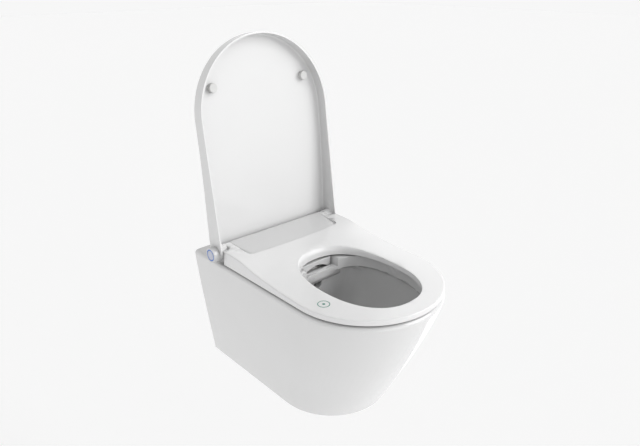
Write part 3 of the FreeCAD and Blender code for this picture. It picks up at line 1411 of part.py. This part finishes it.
tankBlank = rounded("TankRound", box("TankBlock", ("tankX", "tankX + tankLength"), ("-tankY - tankDepth", "-tankY"),
                                     (f"{leftWell} + trayRim", f"{leftWell} + trayRim + tankHeight")),
                    size.wellCorner / 2, upright)
tankSeam = rounded("TankSeamRound", box("TankSeam", ("tankX - overrun / 2", "tankX + tankLength + overrun / 2"),
                                        ("-tankY - tankDepth - overrun / 2", "-tankY + overrun / 2"),
                                        (f"{leftWell} + tankHeight * 0.6",
                                         f"{leftWell} + tankHeight * 0.6 + overrun")),
                   size.wellCorner / 2, upright)
node(fuse("HeaterTank", tankBlank, tankSeam), "heater_tank")


def hose(points):
    """Straight runs of solid hose with a ball at each bend."""
    radius = size.hoseRadius
    solids = []
    for a, b in zip(points, points[1:]):
        solids.append(Part.makeCylinder(radius, (b - a).Length, a, b - a))
        if b is not points[-1]:
            solids.append(Part.makeSphere(radius, b))
    return solids[0].multiFuse(solids[1:]).removeSplitter() if len(solids) > 1 else solids[0]


def waterHoses():
    rim = size.rimHeight
    floor = rim - size.sideWellDepth + size.trayGap + size.trayWall
    gap = size.bodyGap
    tall = rim - size.hoseDrop
    filterTop = floor + size.overrun * 2 + gap + size.filterLength
    valveMiddle = floor + size.valveRise / 2
    valveTop = floor + size.valveRise
    valveEnd = size.valveX + size.valveLength
    middleY = -size.valveY - size.valveDepth / 2
    tankTop = floor + size.trayRim + size.tankHeight
    pumpTop = rim - size.pumpDrop + size.pumpRadius
    fitX, fitY = size.serviceHoleX, -size.serviceHoleY
    bendX = (valveEnd + fitX - size.filterRadius) / 2
    exitX = valveEnd - size.hoseRadius * 2
    tankIn = -size.tankY - size.filterRadius
    tankOutX = size.tankX + size.tankLength - size.filterRadius
    tankOutY = -size.tankY - size.tankDepth / 2
    pumpInX = size.pumpX + size.pumpLength - size.overrun
    pumpOutX = size.pumpX + size.pumpRadius / 2
    sideX = size.cradleHalfWidth + size.hoseRadius * 2
    routes = [
        [Vector(fitX, fitY, filterTop + gap), Vector(fitX, fitY, tall), Vector(bendX, middleY, tall),
         Vector(bendX, middleY, valveMiddle), Vector(valveEnd + gap, middleY, valveMiddle)],
        [Vector(exitX, middleY, valveTop + gap), Vector(exitX, middleY, tall), Vector(exitX, tankIn, tall),
         Vector(exitX, tankIn, tankTop + gap)],
        [Vector(tankOutX, tankOutY, tankTop + gap), Vector(tankOutX, tankOutY, tall),
         Vector(pumpInX, -size.pumpY, tall), Vector(pumpInX, -size.pumpY, pumpTop + gap)],
        [Vector(pumpOutX, -size.pumpY, pumpTop + gap), Vector(pumpOutX, -size.pumpY, rim - size.wandHoseDrop),
         Vector(sideX, -size.pumpY + size.filterRadius, rim - size.wandHoseDrop),
         Vector(sideX, -size.wandTail - size.overrun, rim - size.wandHoseDrop)],
    ]
    return Part.makeCompound([hose(route) for route in routes])


node(feature("WaterHoses", waterHoses()), "water_hoses")

supplyBox = rounded("SupplyRound", box("SupplyBox", ("-supplyX - supplyLength", "-supplyX"),
                                       ("-boardFront", "-supplyY"),
                                       (f"{leftWell} + trayRim", f"{leftWell} + supplyHeight")), size.overrun, upright)
fins = [box(f"SupplyFin{n}", (f"-supplyX - supplyLength + supplyLength * {n + 1} / 8 - ductWall",
                              f"-supplyX - supplyLength + supplyLength * {n + 1} / 8"),
            ("-boardFront + overrun * 2", "-supplyY - overrun * 2"),
            (f"{leftWell} + supplyHeight - runningGap", f"{leftWell} + supplyHeight + overrun")) for n in range(7)]
node(fuse("PowerSupply", supplyBox, *fins), "power_supply")

boardLow = "(rimHeight + boardLift + runningGap)"
boardTop = "(rimHeight + boardLift + runningGap + boardThickness)"
board = doc.addObject("PartDesign::Body", "ControlBoard")
board.addProperty("App::PropertyString", "Comment")
board.Comment = "XY_Plane"
layer(board, "Pad", rectangle(("-boardOuter", "-boardInner"), ("-boardFront", "-boardBack")), boardLow, boardTop)
node(board, "control_board")

# Each component's start, width, depth and height as shares of the board's length and breadth
boardPartShares = (
    (0.10, 0.20, 0.18, 0.34, 0.32), (0.32, 0.20, 0.18, 0.34, 0.32), (0.54, 0.16, 0.14, 0.14, 0.08),
    (0.12, 0.68, 0.26, 0.16, 0.2), (0.46, 0.66, 0.12, 0.2, 0.26), (0.66, 0.66, 0.12, 0.2, 0.26),
    (0.74, 0.2, 0.14, 0.3, 0.14),
)
parts = []
for number, (x, y, wide, deep, tall) in enumerate(boardPartShares):
    long, broad = "(boardOuter - boardInner)", "(boardFront - boardBack)"
    parts.append(box(f"BoardPart{number}", (f"-boardOuter + {long} * {x}", f"-boardOuter + {long} * {x + wide}"),
                     (f"-boardFront + {broad} * {y}", f"-boardFront + {broad} * {y + deep}"),
                     (f"{boardTop} + runningGap", f"{boardTop} + {broad} * {tall}")))
node(fuse("BoardComponents", *parts), "board_components")

filterBox = rounded("OdourRound", box("OdourBox", ("-supplyX - odourLength", "-supplyX"),
                                      ("-odourY - odourDepth", "-odourY"),
                                      (f"{leftWell} + valveRise - overrun", "rimHeight - odourLift / 2")),
                    size.overrun, upright)
grid = [box(f"OdourSlot{n}", (f"-supplyX - odourLength + odourLength * {n + 1} / 8",
                              f"-supplyX - odourLength + odourLength * {n + 1} / 8 + capThickness"),
            ("-odourY - odourDepth + overrun", "-odourY - overrun"),
            (leftWell, "rimHeight + overrun")) for n in range(6)]
node(cut("OdourFilter", filterBox, *grid), "odour_filter")


# Wall fixings

sleeves = []
for side, x in (("Left", "-boltSpacing / 2"), ("Right", "boltSpacing / 2")):
    wall = rod("Sleeve" + side, "sleeveRadius", "Y", "-lugThickness - bodyGap - overrun / 3", "-housingFoot", x=x)
    lip = rod("SleeveLip" + side, "sleeveFlange", "Y", "-lugThickness - bodyGap - sleeveLip",
              "-lugThickness - bodyGap", x=x)
    bore = rod("SleeveBore" + side, "sleeveBore", "Y", "-lugThickness - sleeveFlange", "overrun", x=x)
    sleeves.append(cut("SleeveRing" + side, fuse("SleeveBlank" + side, wall, lip), bore))
node(fuse("FixingSleeves", *sleeves), "fixing_sleeves")


# Check and write

doc.recompute()
for item in doc.Objects:
    if "Invalid" in item.State or "Error" in item.State:
        raise RuntimeError(f"{item.Name} did not build: {item.State}")
for item in nodes:
    if item.Shape.isNull() or not item.Shape.isValid() or not item.Shape.Solids:
        raise RuntimeError(f"{item.Label} has no sound shape")
os.makedirs("parts", exist_ok=True)
for item in nodes:
    item.Shape.exportStep(f"parts/{item.Label}.step")
print(len(nodes), "pieces written")
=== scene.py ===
import json
import math
import bpy
import bmesh
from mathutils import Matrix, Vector

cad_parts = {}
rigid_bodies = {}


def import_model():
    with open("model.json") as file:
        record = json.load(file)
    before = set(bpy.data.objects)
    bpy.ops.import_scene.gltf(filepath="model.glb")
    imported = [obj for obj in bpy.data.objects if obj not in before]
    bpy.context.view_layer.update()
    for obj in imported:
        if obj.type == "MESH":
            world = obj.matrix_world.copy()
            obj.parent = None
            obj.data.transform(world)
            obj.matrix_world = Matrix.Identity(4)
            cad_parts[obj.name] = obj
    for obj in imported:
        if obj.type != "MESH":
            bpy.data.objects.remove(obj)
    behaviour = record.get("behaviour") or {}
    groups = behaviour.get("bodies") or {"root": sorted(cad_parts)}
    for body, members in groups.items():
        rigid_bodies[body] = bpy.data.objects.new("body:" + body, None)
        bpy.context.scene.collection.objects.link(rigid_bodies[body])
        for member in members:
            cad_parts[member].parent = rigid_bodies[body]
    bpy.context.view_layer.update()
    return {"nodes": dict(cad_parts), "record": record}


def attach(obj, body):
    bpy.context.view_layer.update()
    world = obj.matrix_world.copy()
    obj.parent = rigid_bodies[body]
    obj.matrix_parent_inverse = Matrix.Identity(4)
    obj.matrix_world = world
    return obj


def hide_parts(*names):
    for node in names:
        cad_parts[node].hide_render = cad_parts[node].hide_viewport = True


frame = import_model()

print("frame loaded:", len(frame["nodes"]), "nodes")

# Shared helpers


def clearSelection():
    for item in bpy.context.view_layer.objects:
        item.select_set(False)


def makeActive(item):
    clearSelection()
    item.select_set(True)
    bpy.context.view_layer.objects.active = item


def newMaterial(name):
    material = bpy.data.materials.new(name)
    material.use_nodes = True
    return material, material.node_tree.nodes, material.node_tree.links


def setSockets(shader, settings):
    for socket, value in settings.items():
        shader.inputs[socket].default_value = value


def noiseOn(nodes, links, scale, detail=3.0, roughness=0.5):
    place = nodes.new("ShaderNodeTexCoord")
    noise = nodes.new("ShaderNodeTexNoise")
    noise.inputs["Scale"].default_value = scale
    noise.inputs["Detail"].default_value = detail
    noise.inputs["Roughness"].default_value = roughness
    links.new(place.outputs["Object"], noise.inputs["Vector"])
    return noise.outputs["Fac"]


def colourBetween(nodes, links, factor, dark, light, low=0.35, high=0.65):
    ramp = nodes.new("ShaderNodeValToRGB")
    ramp.color_ramp.elements[0].position = low
    ramp.color_ramp.elements[1].position = high
    ramp.color_ramp.elements[0].color = (*dark, 1)
    ramp.color_ramp.elements[1].color = (*light, 1)
    links.new(factor, ramp.inputs["Fac"])
    return ramp.outputs["Color"]


def valueBetween(nodes, links, factor, low, high):
    spread = nodes.new("ShaderNodeMapRange")
    spread.inputs["To Min"].default_value = low
    spread.inputs["To Max"].default_value = high
    links.new(factor, spread.inputs["Value"])
    return spread.outputs["Result"]


def bumpFrom(nodes, links, height, strength, distance):
    bump = nodes.new("ShaderNodeBump")
    bump.inputs["Strength"].default_value = strength
    bump.inputs["Distance"].default_value = distance
    links.new(height, bump.inputs["Height"])
    return bump.outputs["Normal"]


# What all finishes share
finishSettings = {"cloudDetail": 4.0, "roughPerCloud": 7, "grainDetail": 2.0, "grainHeight": 0.0002}


def finish(name, colour, spread=0.02, rough=(0.25, 0.35), grain=900.0, grainDepth=0.15, cloud=9.0,
           **sockets):
    # one moulded, glazed or machined surface: cloudy colour, uneven roughness and a fine grain
    material, nodes, links = newMaterial(name)
    shader = nodes["Principled BSDF"]
    setSockets(shader, sockets)
    clouds = noiseOn(nodes, links, cloud, finishSettings["cloudDetail"])
    dark = tuple(max(0, c * (1 - spread)) for c in colour)
    light = tuple(min(1, c * (1 + spread)) for c in colour)
    links.new(colourBetween(nodes, links, clouds, dark, light), shader.inputs["Base Color"])
    patches = noiseOn(nodes, links, cloud * finishSettings["roughPerCloud"])
    links.new(valueBetween(nodes, links, patches, *rough), shader.inputs["Roughness"])
    grains = noiseOn(nodes, links, grain, finishSettings["grainDetail"])
    relief = bumpFrom(nodes, links, grains, grainDepth, finishSettings["grainHeight"])
    links.new(relief, shader.inputs["Normal"])
    return material


# Finishes: name, colour, its spread, roughness from and to, grain scale and depth, cloud scale, other sockets
glaze = finish("sanitaryGlaze", (0.79, 0.79, 0.79), 0.008, (0.05, 0.09), 14.0, 0.10, 5.0,
               **{"Coat Weight": 0.6, "Coat Roughness": 0.03, "Specular IOR Level": 0.55})
seatPlastic = finish("seatPlastic", (0.86, 0.86, 0.86), 0.006, (0.22, 0.28), 1500.0, 0.05, 6.0,
                     **{"Coat Weight": 0.25, "Coat Roughness": 0.12})
lidPlastic = finish("lidPlastic", (0.82, 0.82, 0.82), 0.006, (0.20, 0.27), 1500.0, 0.05, 6.0,
                    **{"Coat Weight": 0.25, "Coat Roughness": 0.12})
# painted shade: the housing's plastic is set to a darker grey than the seat's and lid's plastic, so the shade
# that falls on the rear deck by the lid's fold is painted into its colour; the knob base, nozzle cover and
# dryer flap share this darkened grey
housingShadeDarkenedPlastic = finish("housingShadeDarkenedPlastic", (0.70, 0.70, 0.70), 0.006, (0.26, 0.33), 1600.0, 0.06, 6.0)
trayPlastic = finish("trayPlastic", (0.62, 0.62, 0.61), 0.03, (0.45, 0.6), 900.0, 0.2)
bushPlastic = finish("bushPlastic", (0.60, 0.60, 0.58), 0.03, (0.35, 0.5), 1100.0, 0.15)
darkPlastic = finish("darkPlastic", (0.045, 0.048, 0.055), 0.08, (0.4, 0.55), 1000.0, 0.25)
bufferRubber = finish("bufferRubber", (0.70, 0.70, 0.69), 0.03, (0.6, 0.75), 700.0, 0.3)
hoseRubber = finish("hoseRubber", (0.45, 0.47, 0.49), 0.04, (0.35, 0.5), 800.0, 0.15)
heaterFilm = finish("heaterFilm", (0.55, 0.30, 0.10), 0.06, (0.3, 0.45), 300.0, 0.2)
plainSteel = finish("plainSteel", (0.55, 0.55, 0.56), 0.05, (0.22, 0.36), 1400.0, 0.2, 30.0,
                    **{"Metallic": 1.0})
motorCan = finish("motorCan", (0.50, 0.51, 0.52), 0.05, (0.28, 0.4), 1800.0, 0.2, 40.0,
                  **{"Metallic": 1.0})
turnedBrass = finish("turnedBrass", (0.72, 0.50, 0.20), 0.06, (0.2, 0.34), 1600.0, 0.2, 30.0,
                     **{"Metallic": 1.0})
gearPlastic = finish("gearPlastic", (0.72, 0.69, 0.58), 0.03, (0.35, 0.45), 900.0, 0.15)
tankPlastic = finish("tankPlastic", (0.66, 0.64, 0.57), 0.03, (0.4, 0.5), 700.0, 0.2)
boardMask = finish("boardMask", (0.012, 0.12, 0.045), 0.25, (0.25, 0.4), 260.0, 0.3, 60.0)
knobPlastic = finish("knobPlastic", (0.70, 0.70, 0.71), 0.01, (0.18, 0.26), 1300.0, 0.06)
buttonPlastic = finish("buttonPlastic", (0.62, 0.64, 0.74), 0.03, (0.16, 0.24), 1300.0, 0.05)
ringPlastic = finish("ringPlastic", (0.05, 0.17, 0.58), 0.05, (0.15, 0.22), 900.0, 0.05,
                     **{"Emission Color": (0.10, 0.28, 0.80, 1), "Emission Strength": 0.12})
lensPlastic = finish("lensPlastic", (0.75, 0.80, 0.85), 0.02, (0.3, 0.4), 700.0, 0.1)
wandPlastic = finish("wandPlastic", (0.74, 0.74, 0.75), 0.01, (0.15, 0.22), 1500.0, 0.05)
markPlastic = finish("markInk", (0.08, 0.27, 0.21), 0.05, (0.3, 0.4), 900.0, 0.05)

finishes = {
    "ceramic_pan": glaze, "seat_top_shell": seatPlastic, "seat_bottom_shell": seatPlastic,
    "seat_heater": heaterFilm, "seat_buffers": bufferRubber, "seat_bushes": bushPlastic,
    "lid_shell": lidPlastic, "lid_bumpers": bufferRubber, "lid_bushes": bushPlastic, "hinge_cap": lidPlastic,
    "housing_cover": housingShadeDarkenedPlastic, "housing_base": trayPlastic, "cover_screws": plainSteel,
    "mounting_plate": plainSteel, "mounting_bolts": plainSteel, "hinge_axles": plainSteel,
    "lid_damper": darkPlastic, "seat_damper": darkPlastic, "knob_base": housingShadeDarkenedPlastic,
    "control_knob": knobPlastic, "knob_light_ring": ringPlastic, "knob_button": buttonPlastic,
    "wand_tube": wandPlastic, "nozzle_tip": wandPlastic, "wand_motor": motorCan, "drive_pinion": gearPlastic,
    "nozzle_cradle": trayPlastic, "nozzle_cover": housingShadeDarkenedPlastic, "night_light": lensPlastic,
    "blower_housing": darkPlastic, "blower_fan": darkPlastic, "blower_motor": motorCan,
    "dryer_duct": trayPlastic, "dryer_flap": housingShadeDarkenedPlastic, "power_gland": darkPlastic,
    "water_inlet_fitting": turnedBrass, "inlet_filter": bushPlastic, "solenoid_valve": darkPlastic,
    "water_pump": darkPlastic, "heater_tank": tankPlastic, "water_hoses": hoseRubber,
    "power_supply": darkPlastic, "control_board": boardMask, "board_components": darkPlastic,
    "odour_filter": darkPlastic, "fixing_sleeves": bushPlastic,
}

# Smooth skins over the solids: a merged copy of each node with its own finish
skinSettings = {"mergeDistance": 0.00001, "sharpAngle": math.radians(32), "flatWeight": 50}


def skinOver(node, body):
    source = frame["nodes"][node]
    mesh = source.data.copy()
    mesh.name = node + "Skin"
    skin = bpy.data.objects.new(node + "Skin", mesh)
    bpy.context.scene.collection.objects.link(skin)
    shape = bmesh.new()
    shape.from_mesh(mesh)
    bmesh.ops.remove_doubles(shape, verts=shape.verts, dist=skinSettings["mergeDistance"])
    shape.to_mesh(mesh)
    shape.free()
    makeActive(skin)
    bpy.ops.object.shade_smooth_by_angle(angle=skinSettings["sharpAngle"])
    flatten = skin.modifiers.new("flatFaces", "WEIGHTED_NORMAL")
    flatten.mode = "FACE_AREA"
    flatten.weight = skinSettings["flatWeight"]
    flatten.keep_sharp = True
    bpy.ops.object.modifier_apply(modifier=flatten.name)
    mesh.materials.clear()
    mesh.materials.append(finishes[node])
    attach(skin, body)
    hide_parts(node)
    return skin


bodies = frame["record"]["behaviour"]["bodies"]
for bodyName, names in bodies.items():
    for node in names:
        skinOver(node, bodyName)
print("skins made:", len(finishes))

# A plain ring and dot printed on the seat, in the place of the printed sign
signSettings = {
    "place": (-0.143, -0.440, 0.0),
    "above": 0.3,
    "ringInside": 0.0118,
    "ringOutside": 0.0136,
    "ringPoints": 96,
    "dotRadius": 0.0033,
    "dotPoints": 48,
    "lift": 0.0001,
    "thickness": 0.0002,
}


def printedSign():
    seatSkin = bpy.data.objects["seat_top_shellSkin"]
    start = Vector(signSettings["place"]) + Vector((0, 0, signSettings["above"]))
    spot, up = seatSkin.ray_cast(start, Vector((0, 0, -1)))[1:3]
    turn = up.to_track_quat("Z", "Y").to_euler()
    clearSelection()
    bpy.ops.mesh.primitive_circle_add(vertices=signSettings["ringPoints"], radius=signSettings["ringInside"],
                                      location=spot, rotation=turn)
    ring = bpy.context.object
    bpy.ops.object.mode_set(mode="EDIT")
    bpy.ops.mesh.select_all(action="SELECT")
    bpy.ops.mesh.extrude_edges_move()
    wider = signSettings["ringOutside"] / signSettings["ringInside"]
    bpy.ops.transform.resize(value=(wider, wider, wider), center_override=spot)
    bpy.ops.object.mode_set(mode="OBJECT")
    clearSelection()
    bpy.ops.mesh.primitive_circle_add(vertices=signSettings["dotPoints"], radius=signSettings["dotRadius"],
                                      fill_type="TRIFAN", location=spot, rotation=turn)
    ring.select_set(True)
    bpy.context.view_layer.objects.active = ring
    bpy.ops.object.join()
    bpy.ops.object.transform_apply(location=True, rotation=True, scale=True)
    onSeat = ring.modifiers.new("onSeat", "SHRINKWRAP")
    onSeat.target = seatSkin
    onSeat.wrap_mode = "ABOVE_SURFACE"
    onSeat.offset = signSettings["lift"]
    bpy.ops.object.modifier_apply(modifier=onSeat.name)
    ink = ring.modifiers.new("ink", "SOLIDIFY")
    ink.thickness = signSettings["thickness"]
    ink.offset = 0
    bpy.ops.object.modifier_apply(modifier=ink.name)
    bpy.ops.object.mode_set(mode="EDIT")
    bpy.ops.mesh.select_all(action="SELECT")
    bpy.ops.mesh.normals_make_consistent(inside=False)
    bpy.ops.object.mode_set(mode="OBJECT")
    ring.name = "printedSign"
    ring.data.materials.clear()
    ring.data.materials.append(markPlastic)
    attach(ring, "seat")
    return ring


printedSign()
print("sign printed")

# Floor, light and camera


def seenOrLit(nodes, links, lit, seen):
    # one level for rays that show the background, another for those that only light the object
    paths = nodes.new("ShaderNodeLightPath")
    total = paths.outputs["Is Camera Ray"]
    for kind in ("Is Glossy Ray", "Is Transmission Ray"):
        either = nodes.new("ShaderNodeMath")
        either.operation = "MAXIMUM"
        links.new(total, either.inputs[0])
        links.new(paths.outputs[kind], either.inputs[1])
        total = either.outputs[0]
    return valueBetween(nodes, links, total, lit, seen)


stageSettings = {
    "floorHeight": -1.2,
    "floorHalf": 30.0,
    "floorColour": 0.72,
    "backgroundLevel": 0.93,
    "ambient": 0.53,
    "floorFill": 0.29,
    "bounces": 1,
}


def paleFloor():
    clearSelection()
    bpy.ops.mesh.primitive_plane_add(size=stageSettings["floorHalf"] * 2,
                                     location=(0, 0, stageSettings["floorHeight"]))
    floor = bpy.context.object
    floor.name = "studioFloor"
    material, nodes, links = newMaterial("floorPaper")
    nodes.remove(nodes["Principled BSDF"])
    paper = nodes.new("ShaderNodeBsdfDiffuse")
    paper.inputs["Color"].default_value = (stageSettings["floorColour"],) * 3 + (1,)
    glow = nodes.new("ShaderNodeEmission")
    links.new(seenOrLit(nodes, links, stageSettings["floorFill"], stageSettings["floorGlow"]),
              glow.inputs["Strength"])
    both = nodes.new("ShaderNodeAddShader")
    links.new(paper.outputs[0], both.inputs[0])
    links.new(glow.outputs[0], both.inputs[1])
    links.new(both.outputs[0], nodes["Material Output"].inputs["Surface"])
    floor.data.materials.append(material)
    return floor


def studioWorld():
    world = bpy.data.worlds.new("studioWorld")
    bpy.context.scene.world = world
    world.use_nodes = True
    nodes, links = world.node_tree.nodes, world.node_tree.links
    back = nodes["Background"]
    back.inputs["Color"].default_value = (1, 1, 1, 1)
    links.new(seenOrLit(nodes, links, stageSettings["ambient"], stageSettings["backgroundLevel"]),
              back.inputs["Strength"])


# Suns of one softness, one line each: name, way the light travels, strength
sunSpread = 40
sunSettings = (
    {"name": "mainSun", "toward": (-0.60, 0.75, -0.50), "strength": 1.24},
    {"name": "edgeSun", "toward": (-1.0, 0.25, -0.25), "strength": 0.15},
    {"name": "frontSun", "toward": (0.0, 1.0, -0.15), "strength": 0.42},
    {"name": "highSun", "toward": (-0.70, 0.20, -0.70), "strength": 0.30},
    {"name": "backSun", "toward": (1.0, -0.45, -0.10), "strength": 0.22},
)

# Soft boxes that only the shine shows: a pale band on the pan's right edge and a sheen on the seat's front
softBoxSettings = (
    {"name": "edgeBox", "place": (1.40, -0.10, -0.65), "aim": (0.0, -0.45, -0.05), "wide": 0.8, "tall": 1.1,
     "power": 3.0},
    {"name": "sheenBox", "place": (1.50, 0.26, 0.95), "aim": (0.0, -0.45, 0.10), "wide": 0.9, "tall": 0.9,
     "power": 3.4},
)


def addSun(settings):
    lamp = bpy.data.lights.new(settings["name"], "SUN")
    lamp.energy = settings["strength"]
    lamp.angle = math.radians(sunSpread)
    item = bpy.data.objects.new(settings["name"], lamp)
    bpy.context.scene.collection.objects.link(item)
    item.rotation_euler = Vector(settings["toward"]).to_track_quat("-Z", "Y").to_euler()
    return item


def addSoftBox(settings):
    lamp = bpy.data.lights.new(settings["name"], "AREA")
    lamp.shape = "RECTANGLE"
    lamp.size = settings["wide"]
    lamp.size_y = settings["tall"]
    lamp.energy = settings["power"]
    item = bpy.data.objects.new(settings["name"], lamp)
    bpy.context.scene.collection.objects.link(item)
    item.location = settings["place"]
    look = Vector(settings["aim"]) - Vector(settings["place"])
    item.rotation_euler = look.to_track_quat("-Z", "Y").to_euler()
    item.visible_diffuse = False
    item.visible_camera = False
    return item


def sunOnFloor():
    total = 0
    for settings in sunSettings:
        total += settings["strength"] * -Vector(settings["toward"]).normalized().z / math.pi
    return total


stageSettings["floorGlow"] = (stageSettings["backgroundLevel"]
                              - stageSettings["floorColour"] * (sunOnFloor() + stageSettings["ambient"]))
paleFloor()
studioWorld()
for settings in sunSettings:
    addSun(settings)
for settings in softBoxSettings:
    addSoftBox(settings)

cameraSettings = {
    "place": (-0.87355, -1.23621, 0.73990),
    "azimuth": -0.7353,
    "elevation": 0.3989,
    "lens": 33.675,
    "sensor": 36,
    "farthest": 100,
}


def photoCamera():
    data = bpy.data.cameras.new("photoCamera")
    data.lens = cameraSettings["lens"]
    data.sensor_width = cameraSettings["sensor"]
    data.clip_end = cameraSettings["farthest"]
    item = bpy.data.objects.new("photoCamera", data)
    bpy.context.scene.collection.objects.link(item)
    azimuth, elevation = cameraSettings["azimuth"], cameraSettings["elevation"]
    look = Vector((-math.sin(azimuth) * math.cos(elevation), math.cos(azimuth) * math.cos(elevation),
                   -math.sin(elevation)))
    item.location = cameraSettings["place"]
    item.rotation_euler = look.to_track_quat("-Z", "Y").to_euler()
    bpy.context.scene.camera = item


photoCamera()
bpy.context.scene.view_settings.view_transform = "Standard"
bpy.context.scene.cycles.diffuse_bounces = stageSettings["bounces"]
print("stage ready")
